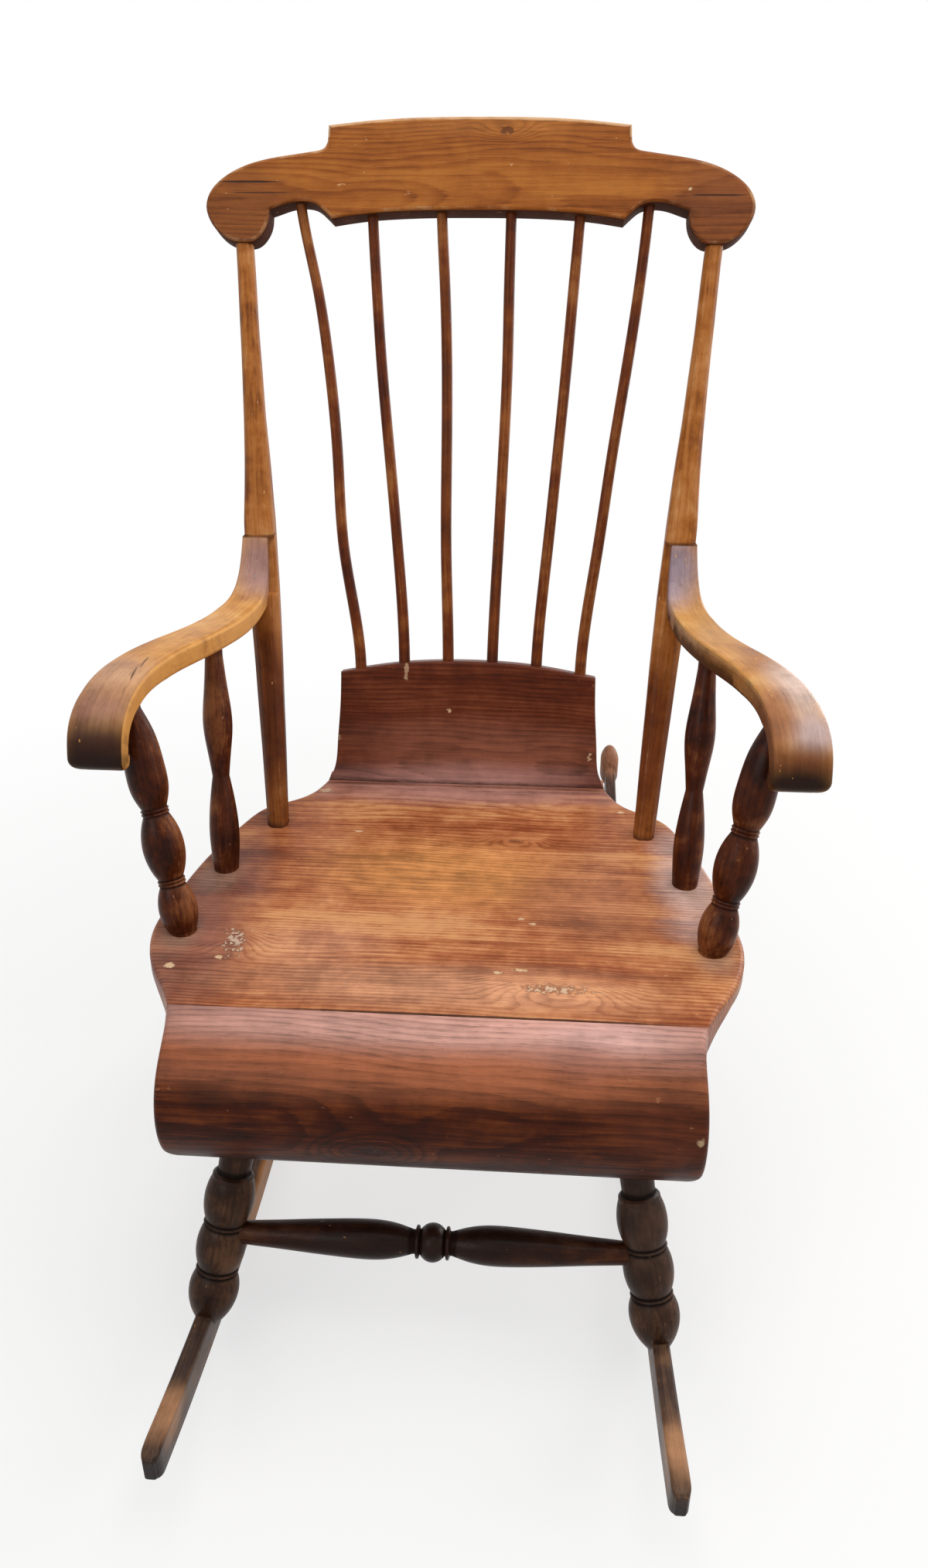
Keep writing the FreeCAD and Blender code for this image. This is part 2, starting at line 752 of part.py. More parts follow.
def arm_board(label, side):
    body = new_body("arm_board_" + label)
    sk = new_sketch(body, "arm_profile_" + label, "YZ_Plane")
    bead_back = bead_point(bead_back_shares)
    spline(sk, [yz(p) for p in arm_top])
    arc(sk, yz(arm_end_front), yz(bead_point(bead_low_shares)), yz(bead_back))
    line(sk, yz(bead_back), yz(arm_end_back))
    spline(sk, under_line)
    line(sk, yz(lap_low), yz(lap_top))
    line(sk, yz(lap_top), yz(arm_top[0]))
    pad(body, sk, "sizes.crest_half_width + sizes.plank_half_width", reverse=side < 0)
    sk = new_sketch(body, "arm_plan_" + label, "XY_Plane")
    inner = [(x * side, y) for x, y in arm_inner_edge]
    outer = [(x * side, y) for x, y in arm_outer_edge]
    for edge in (inner, outer):
        line(sk, edge[0], edge[1])
        spline(sk, edge[1:])
    line(sk, inner[0], outer[0])
    line(sk, inner[-1], outer[-1])
    reach = n.crest_half_width + n.plank_half_width + n.overrun
    low_y = inner[-1][1] - n.overrun
    high_y = inner[0][1] + n.overrun
    if side > 0:
        frame_box(sk, (-n.overrun, low_y), (reach, high_y))
    else:
        frame_box(sk, (-reach, low_y), (n.overrun, high_y))
    trim_through(body, sk)
    return body


def lap_tool(label, side):
    """The space that the rear end of the arm takes out of the post."""
    start = (arm_joint_inner_x - n.fit_gap) * side
    body = new_body("lap_space_" + label, FreeCAD.Placement(V(start, 0, 0), FreeCAD.Rotation()))
    sk = new_sketch(body, "lap_profile_" + label, "YZ_Plane")
    under = [(y, z - n.fit_gap) for y, z in under_line]
    back = n.fit_gap / post_back.y
    top_z = lap_top.z + n.fit_gap
    spline(sk, under)
    path(sk, [
        under[-1], (under[-1][0] + back, under[-1][1]), (lap_top.y + back + n.fit_gap * lap_slope, top_z),
        (under[0][0], top_z), under[0],
    ])
    pad(body, sk, "2 * sizes.post_arm_width", reverse=side < 0)
    return body


# pegs from the face of the arm into the post
peg_lines = []
for count in range(2):
    z = arm_joint_height - n.arm_peg_drop - n.arm_peg_spacing * count
    face = arm_curve.value(arm_curve.parameter(V(0, post_front_y(z), z)))
    face.x = arm_joint_inner_x + n.arm_joint_width / 2
    to_lap = (lap_top - face).dot(post_back)
    peg_lines.append((face, step(face, post_back, to_lap + n.arm_peg_post_depth)))

# turned spindles under the arms
arm_under_curve = Part.BSplineCurve()
arm_under_curve.interpolate(arm_under)


def under_height(y):
    """Height of the arm's underside above a place on the floor."""
    level = V(0, y, arm_rest_height)
    return arm_under_curve.value(arm_under_curve.parameter(level)).z


def arm_spindle_ends(inset, set_back, rake, across):
    """Foot on the seat and top under the arm, part of the way across its width."""
    foot = V(n.plank_half_width - inset, n.plank_front_y + set_back, n.seat_height)
    top_y = foot.y + rake
    way = (top_y - arm_joint_y) / arm_run
    for near, far in zip(arm_plan_shares, arm_plan_shares[1:]):
        if way <= far[0]:
            break
    part = (way - near[0]) / (far[0] - near[0])
    inner, outer = arm_edge_x(way, mix(near[1], far[1], part), mix(near[2], far[2], part))
    return foot, V(mix(inner[0], outer[0], across), top_y, under_height(top_y))


front_across_share, rear_across_share = 0.46, 0.26
front_spindle_foot, front_spindle_top = arm_spindle_ends(
    n.front_spindle_foot_inset, n.front_spindle_foot_set, n.front_spindle_rake, front_across_share,
)
rear_spindle_foot, rear_spindle_top = arm_spindle_ends(
    n.rear_spindle_foot_inset, n.rear_spindle_foot_set, n.rear_spindle_rake, rear_across_share,
)


def bulb(sk, z0, r0, z1, r1, widest):
    arc(sk, (r0, z0), (widest, (z0 + z1) / 2), (r1, z1))


# two fine rings between grooves: share of the width along, share of the ring's height
ring_pair_shares = ((-1.0, 0), (-0.75, 1), (-0.4, 1), (0, 0), (0.4, 1), (0.75, 1), (1.0, 0))


def ring_pair(sk, z, groove, ring, width):
    path(sk, [(mix(groove, ring, b), z + a * width) for a, b in ring_pair_shares])
    return z - width, z + width


ring_place_shares = (0.213, 0.512)
slim_share = 0.93
front_swell_shares = ((0.80, 0.16), (1.0, 0.42), (0.66, 0.76))


def front_spindle(label, side):
    foot = mirrored(front_spindle_foot, side)
    axis = mirrored(front_spindle_top - front_spindle_foot, side)
    length = axis.Length
    start = -n.arm_spindle_foot_tenon
    end = length + n.arm_spindle_top_tenon
    body = new_body("front_spindle_turning_" + label, along(foot, axis))
    sk = new_sketch(body, "front_spindle_profile_" + label, "XZ_Plane")
    foot_r = n.front_spindle_foot_diameter / 2
    groove = n.front_spindle_groove_diameter / 2
    ring = n.front_spindle_ring_diameter / 2
    top_r = n.front_spindle_top_diameter / 2
    slim = length * slim_share
    low_a, low_b = ring_pair(sk, length * ring_place_shares[0], groove, ring, n.front_spindle_ring_width)
    high_a, high_b = ring_pair(sk, length * ring_place_shares[1], groove, ring, n.front_spindle_ring_width)
    path(sk, [(0, start), (foot_r, start), (foot_r, 0)])
    bulb(sk, 0, foot_r, low_a, groove, n.front_spindle_low_bulb_diameter / 2)
    bulb(sk, low_b, groove, high_a, groove, n.front_spindle_middle_bulb_diameter / 2)
    widest = n.front_spindle_high_bulb_diameter / 2
    turned_curve(sk, (groove, high_b), (top_r, slim), widest, front_swell_shares)
    path(sk, [(top_r, slim), (top_r, end), (0, end), (0, start)])
    revolve(body, sk)
    return body


# low bulb, slim waist and high bulb of the rear spindle, as shares of its length
waist_share = 0.425
rear_slim_share = 0.96
rear_low_shares = ((1.0, 0.435), (0.46, 0.77))
rear_high_shares = ((0.50, 0.20), (1.0, 0.44), (0.45, 0.76))


def rear_spindle(label, side):
    foot = mirrored(rear_spindle_foot, side)
    axis = mirrored(rear_spindle_top - rear_spindle_foot, side)
    length = axis.Length
    start = -n.arm_spindle_foot_tenon
    end = length + n.arm_spindle_top_tenon
    body = new_body("rear_spindle_turning_" + label, along(foot, axis))
    sk = new_sketch(body, "rear_spindle_profile_" + label, "XZ_Plane")
    foot_r = n.rear_spindle_foot_diameter / 2
    waist = (n.rear_spindle_neck_diameter / 2, length * waist_share)
    top = (n.rear_spindle_top_diameter / 2, length * rear_slim_share)
    path(sk, [(0, start), (foot_r, start), (foot_r, 0)])
    turned_curve(sk, (foot_r, 0), waist, n.rear_spindle_bulb_diameter / 2, rear_low_shares)
    turned_curve(sk, waist, top, n.rear_spindle_high_bulb_diameter / 2, rear_high_shares)
    path(sk, [top, (top[0], end), (0, end), (0, start)])
    revolve(body, sk)
    return body


# legs
def leg_line(inset, top_y, foot_y):
    foot = V(rocker_x, foot_y, rocker_top(foot_y) - n.leg_cheek_depth)
    top = V(n.plank_half_width - inset, top_y, plank_under)
    return foot, top


front_leg_top_y = n.plank_front_y + n.front_leg_top_set
rear_leg_top_y = n.riser_foot_y - n.rear_leg_top_set
front_leg_line = leg_line(n.front_leg_top_inset, front_leg_top_y, front_leg_top_y - n.front_leg_rake)
rear_leg_line = leg_line(n.rear_leg_top_inset, rear_leg_top_y, rear_leg_top_y + n.rear_leg_rake)


def on_line(ends, z):
    foot, top = ends
    return foot + (top - foot) * ((z - foot.z) / (top.z - foot.z))


# egg at the foot of the leg, and the plain swell above its collar
leg_foot_shares = ((0.52, 0.22), (0.97, 0.52), (0.84, 0.80))
leg_swell_shares = ((0.55, 0.22), (1.0, 0.48), (0.50, 0.78))
leg_ring_shares = ((0, 0), (0.35, 1), (1, 0))


def leg_turning(name, ends, side):
    foot = mirrored(ends[0], side)
    axis = mirrored(ends[1] - ends[0], side)
    length = axis.Length
    end = length + n.leg_seat_tenon
    body = new_body(name, along(foot, axis))
    sk = new_sketch(body, name + "_profile", "XZ_Plane")
    foot_r = n.leg_foot_diameter / 2
    big = n.leg_bulb_diameter / 2
    groove = n.leg_groove_diameter / 2
    ring = n.leg_ring_diameter / 2
    collar = n.leg_collar_diameter / 2
    neck = n.leg_neck_diameter / 2
    top_r = n.leg_top_diameter / 2
    w = n.leg_ring_width
    z = n.leg_bulb_length + n.leg_cheek_depth / 2
    line(sk, (0, 0), (foot_r, 0))
    turned_curve(sk, (foot_r, 0), (groove, z), big, leg_foot_shares)
    for after in (groove, collar):
        path(sk, [(mix(groove, ring, b), z + w * a) for a, b in leg_ring_shares])
        bulb(sk, z + w, groove, z + w + n.leg_bulb_length, after, big)
        z += w + n.leg_bulb_length
    path(sk, [(collar, z), (collar, z + w), (neck, z + 2 * w)])
    turned_curve(sk, (neck, z + 2 * w), (top_r, length), n.leg_swell_diameter / 2, leg_swell_shares)
    path(sk, [(top_r, length), (top_r, end), (0, end), (0, 0)])
    revolve(body, sk)
    return body


# rockers
def rocker_board(name, side, grow):
    body = new_body(name, FreeCAD.Placement(V(rocker_x * side, 0, 0), FreeCAD.Rotation()))
    sk = new_sketch(body, name + "_outline", "YZ_Plane")
    lift = n.rocker_height + grow
    low_y = tip_y + n.rocker_tip_low_rounding
    high_y = tip_y + n.rocker_tip_high_rounding
    contact = n.rocker_contact_y
    sole = (tip_y, rocker_line(tip_y, 0))
    back = (tip_y, rocker_line(tip_y, lift))

    def between(a, b, height):
        start, middle, end = [(y, rocker_line(y, height)) for y in (a, (a + b) / 2, b)]
        arc(sk, start, middle, end)

    between(contact, low_y, 0)
    rounded_corner(sk, (low_y, rocker_line(low_y, 0)), sole, (tip_y, sole[1] + n.rocker_tip_low_rounding))
    high = (tip_y, back[1] - n.rocker_tip_high_rounding)
    line(sk, (tip_y, sole[1] + n.rocker_tip_low_rounding), high)
    rounded_corner(sk, high, back, (high_y, rocker_line(high_y, lift)))
    between(high_y, contact, lift)
    between(contact, knob_y, lift)
    line(sk, (knob_y, rocker_line(knob_y, lift)), (knob_y, rocker_line(knob_y, 0)))
    between(knob_y, contact, 0)
    pad(body, sk, "sizes.rocker_thickness" + (" + 2 * sizes.fit_gap" if grow else ""), both=True)
    return body


def knob(name, side):
    ball = doc.addObject("Part::Ellipsoid", name)
    bind(ball, "Radius1", "sizes.knob_height / 2")
    bind(ball, "Radius2", "sizes.knob_width / 2")
    bind(ball, "Radius3", "sizes.knob_length / 2")
    ball.Angle1 = -90
    ball.Angle2 = 90
    z = (rocker_bottom(knob_y) + rocker_top(knob_y)) / 2 + n.knob_rise
    ball.Placement = FreeCAD.Placement(V(rocker_x * side, knob_y, z), FreeCAD.Rotation())
    return ball


def pin_place(ends, side):
    z = rocker_top(ends[0].y) - n.leg_pin_drop
    middle = mirrored(on_line(ends, z), side)
    reach = X_AXIS * (n.leg_pin_length / 2)
    return middle - reach, middle + reach


pin_radius = "sizes.leg_pin_diameter / 2"
pin_hole_radius = pin_radius + " + sizes.fit_gap"
pins = []
plank_holes = []
crest_holes = []
riser_holes = []
roll_holes = []

stretcher_ends = {}
for row, ends in (("front", front_leg_line), ("rear", rear_leg_line)):
    stretcher_ends[row] = on_line(ends, n.stretcher_height)

for label, side in SIDES:
    board = rocker_board("rocker_board_" + label, side, 0)
    rocker = fuse("rocker_shape_" + label, [board, knob("knob_" + label, side)])
    slot = rocker_board("rocker_slot_" + label, side, n.fit_gap)
    rocker_holes = []
    for row, ends in (("front", front_leg_line), ("rear", rear_leg_line)):
        name = row + "_leg_" + label
        turning = leg_turning(name + "_turning", ends, side)
        a, b = pin_place(ends, side)
        pins.append(rod(name + "_pin", a, b, pin_radius))
        past = X_AXIS * n.overrun
        hole = rod(name + "_pin_hole", a - past, b + past, pin_hole_radius)
        rocker_holes.append(rod(name + "_rocker_hole", a - past, b + past, pin_hole_radius))
        seat = mirrored(stretcher_ends[row], side)
        tip = seat - X_AXIS * side * (n.stretcher_tenon_reach - n.socket_end_gap)
        outside = seat - X_AXIS * side * (n.leg_bulb_diameter / 2 + n.overrun)
        socket = rod(name + "_socket", tip, outside, "sizes.stretcher_end_diameter / 2 + sizes.fit_gap")
        node(cut(name + "_piece", turning, [slot, hole, socket]), name)
        top = mirrored(ends[1], side)
        axis = mirrored(ends[1] - ends[0], side)
        plank_holes.append(rod(
            name + "_seat_hole", step(top, axis, -n.overrun),
            step(top, axis, n.leg_seat_tenon + n.socket_end_gap),
            "sizes.leg_top_diameter / 2 + sizes.fit_gap",
        ))
    node(cut("rocker_piece_" + label, rocker, rocker_holes), "rocker_" + label)

group = doc.addObject("Part::Compound", "leg_pin_set")
group.Links = pins
node(group, "leg_pins")


# stretchers
# ring beside the centre bead: share of its width along, share of its height
side_ring_shares = ((0, 0), (0.3, 1), (1.0, 1), (1.3, 0), (1.8, 0))
bulge_shares = ((0.62, 0.09), (1.0, 0.36), (0.52, 0.68))


def stretcher(name, place):
    """A turned bar along X: a centre bead, a ring each side, two long bulges."""
    half = place.x - n.stretcher_tenon_reach
    turn = FreeCAD.Rotation(Z_AXIS, X_AXIS)
    body = new_body(name, FreeCAD.Placement(V(0, place.y, place.z), turn))
    sk = new_sketch(body, name + "_profile", "XZ_Plane")
    end_r = n.stretcher_end_diameter / 2
    ring = n.stretcher_ring_diameter / 2
    groove = n.stretcher_groove_diameter / 2
    w = n.stretcher_ring_width
    bead_half = n.stretcher_bead_length / 2
    shoulder = place.x - n.leg_bulb_diameter / 2
    bulb(sk, -bead_half, groove, bead_half, groove, n.stretcher_bead_diameter / 2)
    for way in (-1, 1):
        rings = [(mix(groove, ring, b), (bead_half + w * a) * way) for a, b in side_ring_shares]
        path(sk, rings)
        turned_curve(sk, rings[-1], (end_r, shoulder * way), n.stretcher_bulge_diameter / 2, bulge_shares)
        path(sk, [(end_r, shoulder * way), (end_r, half * way), (0, half * way)])
    line(sk, (0, -half), (0, half))
    revolve(body, sk)
    return node(body, name)


stretcher("front_stretcher", stretcher_ends["front"])
stretcher("rear_stretcher", stretcher_ends["rear"])

# arms and their posts
peg_radius = "sizes.arm_peg_diameter / 2"
pegs = []
for label, side in SIDES:
    arm = arm_board(label, side)
    shaft = post_shaft(label, side)
    reach = 2 * n.post_foot_width
    foot = mirrored(post_foot, side)
    under = slab(
        "post_foot_trim_" + label, FreeCAD.Placement(),
        foot - V(reach, reach, reach), foot + V(reach, reach, n.fit_gap),
    )
    top = V(post_top_x * side, n.crest_thickness / 2, ear_low)
    over = slab(
        "post_top_trim_" + label, crest_frame,
        top - V(reach, reach, n.fit_gap), top + V(reach, reach, reach),
    )
    shaft = cut("post_shaft_trimmed_" + label, shaft, [under, over, lap_tool(label, side)])
    axis = mirrored(post_axis, side)
    seat_end = step(foot, axis, -n.post_seat_tenon_length)
    seat_tenon = rod(
        "post_seat_tenon_" + label, seat_end, step(foot, axis, n.post_foot_width),
        "sizes.post_seat_tenon_diameter / 2",
    )
    crest_end = step(mirrored(post_top, side), axis, n.post_crest_tenon_length / 2)
    crest_tenon = rod(
        "post_crest_tenon_" + label, step(crest_end, axis, -n.post_crest_tenon_length - n.post_top_width),
        crest_end, "sizes.post_crest_tenon_diameter / 2",
    )
    post = fuse("post_with_tenons_" + label, [shaft, seat_tenon, crest_tenon])
    plank_holes.append(rod(
        "post_seat_hole_" + label, step(seat_end, axis, -n.socket_end_gap),
        step(foot, axis, n.overrun), "sizes.post_seat_tenon_diameter / 2 + sizes.fit_gap",
    ))
    crest_holes.append(rod(
        "post_crest_hole_" + label, step(crest_end, axis, -n.post_crest_tenon_length - n.overrun),
        step(crest_end, axis, n.socket_end_gap), "sizes.post_crest_tenon_diameter / 2 + sizes.fit_gap",
    ))
    arm_holes = []
    peg_holes = []
    for count, (face, far) in enumerate(peg_lines):
        face = mirrored(face, side)
        far = mirrored(far, side)
        name = "arm_peg_%s_%d" % (label, count)
        pegs.append(rod(name, face, far, peg_radius))
        near = step(face, far - face, -n.overrun)
        end = step(far, far - face, n.socket_end_gap)
        arm_holes.append(rod(name + "_arm_hole", near, end, peg_radius + " + sizes.fit_gap"))
        peg_holes.append(rod(name + "_post_hole", near, end, peg_radius + " + sizes.fit_gap"))
    node(cut("back_post_piece_" + label, post, peg_holes), "back_post_" + label)
    for row, low, high, maker in (
        ("front", front_spindle_foot, front_spindle_top, front_spindle),
        ("rear", rear_spindle_foot, rear_spindle_top, rear_spindle),
    ):
        spindle = maker(label, side)
        name = "arm_%s_spindle_%s" % (row, label)
        node(spindle, name)
        low = mirrored(low, side)
        high = mirrored(high, side)
        line_way = high - low
        plank_holes.append(rod(
            name + "_seat_hole", step(low, line_way, -n.arm_spindle_foot_tenon - n.socket_end_gap),
            step(low, line_way, n.overrun), "sizes.%s_spindle_foot_diameter / 2 + sizes.fit_gap" % row,
        ))
        arm_holes.append(rod(
            name + "_arm_hole", step(high, line_way, -2 * n.overrun),
            step(high, line_way, n.arm_spindle_top_tenon + n.socket_end_gap),
            "sizes.%s_spindle_top_diameter / 2 + sizes.fit_gap" % row,
        ))
    node(cut("arm_piece_" + label, arm, arm_holes), "arm_" + label)

group = doc.addObject("Part::Compound", "arm_peg_set")
group.Links = pegs
node(group, "arm_pegs")

# back spindles
spindle_foot = riser_frame.multVec(V(0, n.riser_thickness / 2, n.riser_height))
spindle_head = crest_frame.multVec(V(0, n.crest_thickness / 2, n.spindle_top_reach / 2))
spindle_way = spindle_head - spindle_foot
spindle_run = spindle_way.Length
spindle_angle = math.degrees(math.atan2(spindle_way.y, spindle_way.z))
spindle_frame = lean_frame(spindle_foot, spindle_angle)
bow_stations_share = (0.29, 0.50, 0.70, 0.87)
# sideways bend of each spindle at those stations, as shares of spindle_bow
bow_shares = (
    (-0.20, 0.25, 0.62, 0.78), (-0.02, -0.11, -0.20, -0.14), (-0.11, 0.13, 0.29, 0.16),
    (0.19, 0.34, 0.29, 0.11), (0.03, 0.26, 0.30, 0.07), (-0.13, -0.14, 0.38, 0.42),
)
spindle_end = spindle_run + n.spindle_top_reach / 2
last = len(bow_shares) - 1
foot_reach = riser_top_half_width - n.spindle_foot_inset
top_reach = n.crest_half_width - n.spindle_top_inset
for count, bows in enumerate(bow_shares):
    place_share = 2 * count / last - 1
    foot_x = foot_reach * place_share + n.spindle_foot_shift
    top_x = top_reach * place_share
    name = "back_spindle_%d" % (count + 1)
    body = new_body(name + "_rod", spindle_frame)
    foot_r = n.spindle_foot_diameter / 2
    top_r = n.spindle_top_diameter / 2
    straight_top = spindle_run - n.spindle_top_reach / 2
    stations = [(-n.spindle_foot_tenon, foot_x, foot_r), (0, foot_x, foot_r)]
    for share, bow in zip(bow_stations_share, bows):
        stations.append((
            straight_top * share, mix(foot_x, top_x, share) + bow * n.spindle_bow, mix(foot_r, top_r, share),
        ))
    stations += [(straight_top, top_x, top_r), (spindle_end, top_x, top_r)]
    sections = []
    for index, (z, x, r) in enumerate(stations):
        sk = new_sketch(body, "%s_section_%d" % (name, index), "XY_Plane", z)
        sk.addGeometry(Part.Circle(V(x, 0, 0), Z_AXIS, r), False)
        sk.Visibility = False
        sections.append(sk)
    loft = body.newObject("PartDesign::AdditiveLoft", name + "_loft")
    loft.Profile = sections[0]
    loft.Sections = sections[1:]
    doc.recompute()
    node(body, name)
    axis = spindle_frame.Rotation.multVec(Z_AXIS)
    low = spindle_frame.multVec(V(foot_x, 0, 0))
    high = spindle_frame.multVec(V(top_x, 0, spindle_end))
    riser_holes.append(rod(
        name + "_riser_hole", step(low, axis, -n.spindle_foot_tenon - n.socket_end_gap),
        step(low, axis, n.riser_crown + n.overrun), "sizes.spindle_foot_diameter / 2 + sizes.fit_gap",
    ))
    crest_holes.append(rod(
        name + "_crest_hole", step(high, axis, -2 * n.spindle_top_reach),
        step(high, axis, n.socket_end_gap), "sizes.spindle_top_diameter / 2 + sizes.fit_gap",
    ))

# dowels in the seat boards
dowel_radius = "sizes.dowel_diameter / 2"
dowels = []
riser_up = riser_frame.Rotation.multVec(Z_AXIS)
for count in (-1, 0, 1):
    x = n.dowel_spacing * count
    foot = riser_frame.multVec(V(x, n.riser_thickness / 2, n.riser_thickness / 2 * math.tan(lean)))
    roll_seat = V(x, n.plank_front_y, n.seat_height - n.plank_thickness / 2)
    for name, middle, way, first_list, second_list in (
        ("riser_dowel_%d" % (count + 2), foot, riser_up, plank_holes, riser_holes),
        ("roll_dowel_%d" % (count + 2), roll_seat, Y_AXIS, roll_holes, plank_holes),
    ):
        a = step(middle, way, -n.dowel_length / 2)
        b = step(middle, way, n.dowel_length / 2)
        dowels.append(rod(name, a, b, dowel_radius))
        past_a = step(a, way, -n.socket_end_gap)
        past_b = step(b, way, n.socket_end_gap)
        wide = dowel_radius + " + sizes.fit_gap"
        first_list.append(rod(name + "_hole_a", past_a, step(middle, way, n.fit_gap), wide))
        second_list.append(rod(name + "_hole_b", step(middle, way, -n.fit_gap), past_b, wide))

group = doc.addObject("Part::Compound", "seat_dowel_set")
group.Links = dowels
node(group, "seat_dowels")

node(cut("plank_piece", plank_body, plank_holes), "seat_plank")
node(cut("roll_piece", roll_body, roll_holes), "seat_front_roll")
node(cut("riser_piece", riser_body, riser_holes), "seat_rear_riser")
node(cut("crest_piece", crest_body, crest_holes), "crest_rail")

doc.recompute()
failed = [o.Name for o in doc.Objects if "Invalid" in o.State or "Error" in o.State]
if failed:
    raise RuntimeError("failed: " + ", ".join(failed))
for obj in nodes:
    if obj.Shape.isNull() or not obj.Shape.isValid() or not obj.Shape.Solids:
        raise RuntimeError("bad shape: " + obj.Label)
for obj in nodes:
    obj.Shape.exportStep("parts/%s.step" % obj.Label)
    print("%-24s %d solids %10.0f mm3" % (obj.Label, len(obj.Shape.Solids), obj.Shape.Volume))
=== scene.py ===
"""A wooden rocking chair with a shaped crest rail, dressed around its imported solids.

Lengths in the shape code are millimetres in the chair's own frame: the front
faces -Y, +Z is up and the floor is at zero. Meshes are written in metres.
"""

import math

import bmesh
import bpy
import numpy as np
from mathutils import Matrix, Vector


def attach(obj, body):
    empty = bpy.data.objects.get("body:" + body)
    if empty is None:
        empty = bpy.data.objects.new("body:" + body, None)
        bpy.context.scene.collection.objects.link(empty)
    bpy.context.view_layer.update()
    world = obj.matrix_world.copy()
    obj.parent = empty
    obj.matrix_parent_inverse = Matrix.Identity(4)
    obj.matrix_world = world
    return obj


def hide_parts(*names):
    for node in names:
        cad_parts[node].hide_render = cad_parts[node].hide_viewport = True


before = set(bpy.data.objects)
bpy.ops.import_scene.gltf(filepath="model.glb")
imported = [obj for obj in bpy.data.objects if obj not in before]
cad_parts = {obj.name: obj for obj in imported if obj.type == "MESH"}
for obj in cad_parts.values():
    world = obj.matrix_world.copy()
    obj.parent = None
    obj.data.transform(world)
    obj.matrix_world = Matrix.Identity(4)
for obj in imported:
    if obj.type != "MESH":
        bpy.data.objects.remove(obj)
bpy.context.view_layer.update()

MM = 0.001
SIDES = (("left", -1), ("right", 1))
SEAT = 357.0
ROCKER_X = 208.5


# Lines
def mix(a, b, share):
    """The value that lies a share of the way from a to b."""
    return a + (b - a) * share


def lengths_along(points):
    """The length of a line from its first point to each of its points."""
    return np.concatenate([[0], np.cumsum(np.linalg.norm(np.diff(points, axis=0), axis=1))])


def places_on(points, steps, wanted):
    """The places on a flat line at the wanted lengths; steps are the lengths to its own points."""
    return np.stack([np.interp(wanted, steps, points[:, k]) for k in range(2)], 1)


def smooth_line(points, step=2.0, per_stretch=0):
    """A natural cubic spline over the points' chord lengths.

    It gives about one point every step, or per_stretch points from one given
    point to the next.
    """
    p = np.asarray(points, float)
    t = lengths_along(p)
    h = np.diff(t)
    inner = np.arange(1, len(p) - 1)
    system = np.eye(len(p))
    system[inner, inner - 1] = h[:-1]
    system[inner, inner] = 2 * (h[:-1] + h[1:])
    system[inner, inner + 1] = h[1:]
    target = np.zeros_like(p)
    target[1:-1] = 6 * np.diff(np.diff(p, axis=0) / h[:, None], axis=0)
    bend = np.linalg.solve(system, target)
    q = np.linspace(0, t[-1], max(3, int(t[-1] / step) + 1))
    if per_stretch:
        shares = np.arange(per_stretch * (len(p) - 1) + 1) / per_stretch
        q = np.interp(shares, np.arange(len(p)), t)
    k = np.clip(np.searchsorted(t, q, side="right") - 1, 0, len(p) - 2)
    u = (q - t[k])[:, None]
    hk = h[k][:, None]
    w = hk - u
    cubic = (bend[k] * w ** 3 + bend[k + 1] * u ** 3) / (6 * hk)
    return cubic + (p[k] / hk - bend[k] * hk / 6) * w + (p[k + 1] / hk - bend[k + 1] * hk / 6) * u


def straight(a, b, step=2.0):
    """Evenly spaced points from a to b."""
    a, b = np.asarray(a, float), np.asarray(b, float)
    count = max(2, int(np.linalg.norm(b - a) / step) + 1)
    return a + (b - a) * np.linspace(0, 1, count)[:, None]


def bent_line(a, m, b, count=14):
    """The arc of a circle that starts at a, goes through m and ends at b."""
    (ax, ay), (mx, my), (bx, by) = a, m, b
    d = 2 * (ax * (my - by) + mx * (by - ay) + bx * (ay - my))
    sa, sm, sb = ax * ax + ay * ay, mx * mx + my * my, bx * bx + by * by
    cx = (sa * (my - by) + sm * (by - ay) + sb * (ay - my)) / d
    cy = (sa * (bx - mx) + sm * (ax - bx) + sb * (mx - ax)) / d
    start = math.atan2(ay - cy, ax - cx)
    way = np.unwrap([start, math.atan2(my - cy, mx - cx), math.atan2(by - cy, bx - cx)])
    angle = np.linspace(way[0], way[2], count)
    r = math.hypot(ax - cx, ay - cy)
    return np.stack([cx + r * np.cos(angle), cy + r * np.sin(angle)], 1)


def chain(*parts):
    """Lines laid end to end, without the points that neighbours share."""
    return np.concatenate([parts[0]] + [p[1:] for p in parts[1:]])


def eased(values, width):
    """Moving average along the first axis, with the ends held."""
    pad = np.concatenate([np.repeat(values[:1], width, 0), values, np.repeat(values[-1:], width, 0)])
    total = np.cumsum(np.concatenate([np.zeros_like(pad[:1]), pad]), axis=0)
    full = 2 * width + 1
    return (total[full:] - total[:-full]) / full


def short_of_round(distance, reach):
    """How far a quarter circle has still to rise: one at its start, zero from the reach on."""
    return 1 - np.sqrt(1 - (1 - np.clip(distance / reach, 0, 1)) ** 2)


def ripple(*waves):
    """A gentle unevenness: a sum of sines of the given arguments."""
    return sum(np.sin(w + i * 1.7) for i, w in enumerate(waves)) / len(waves)


# Meshes
GRAIN_SLOPE = 0.02
GRAIN_SHIFT = 9000
WELD = 2e-6
TURNING_SIDES = 56


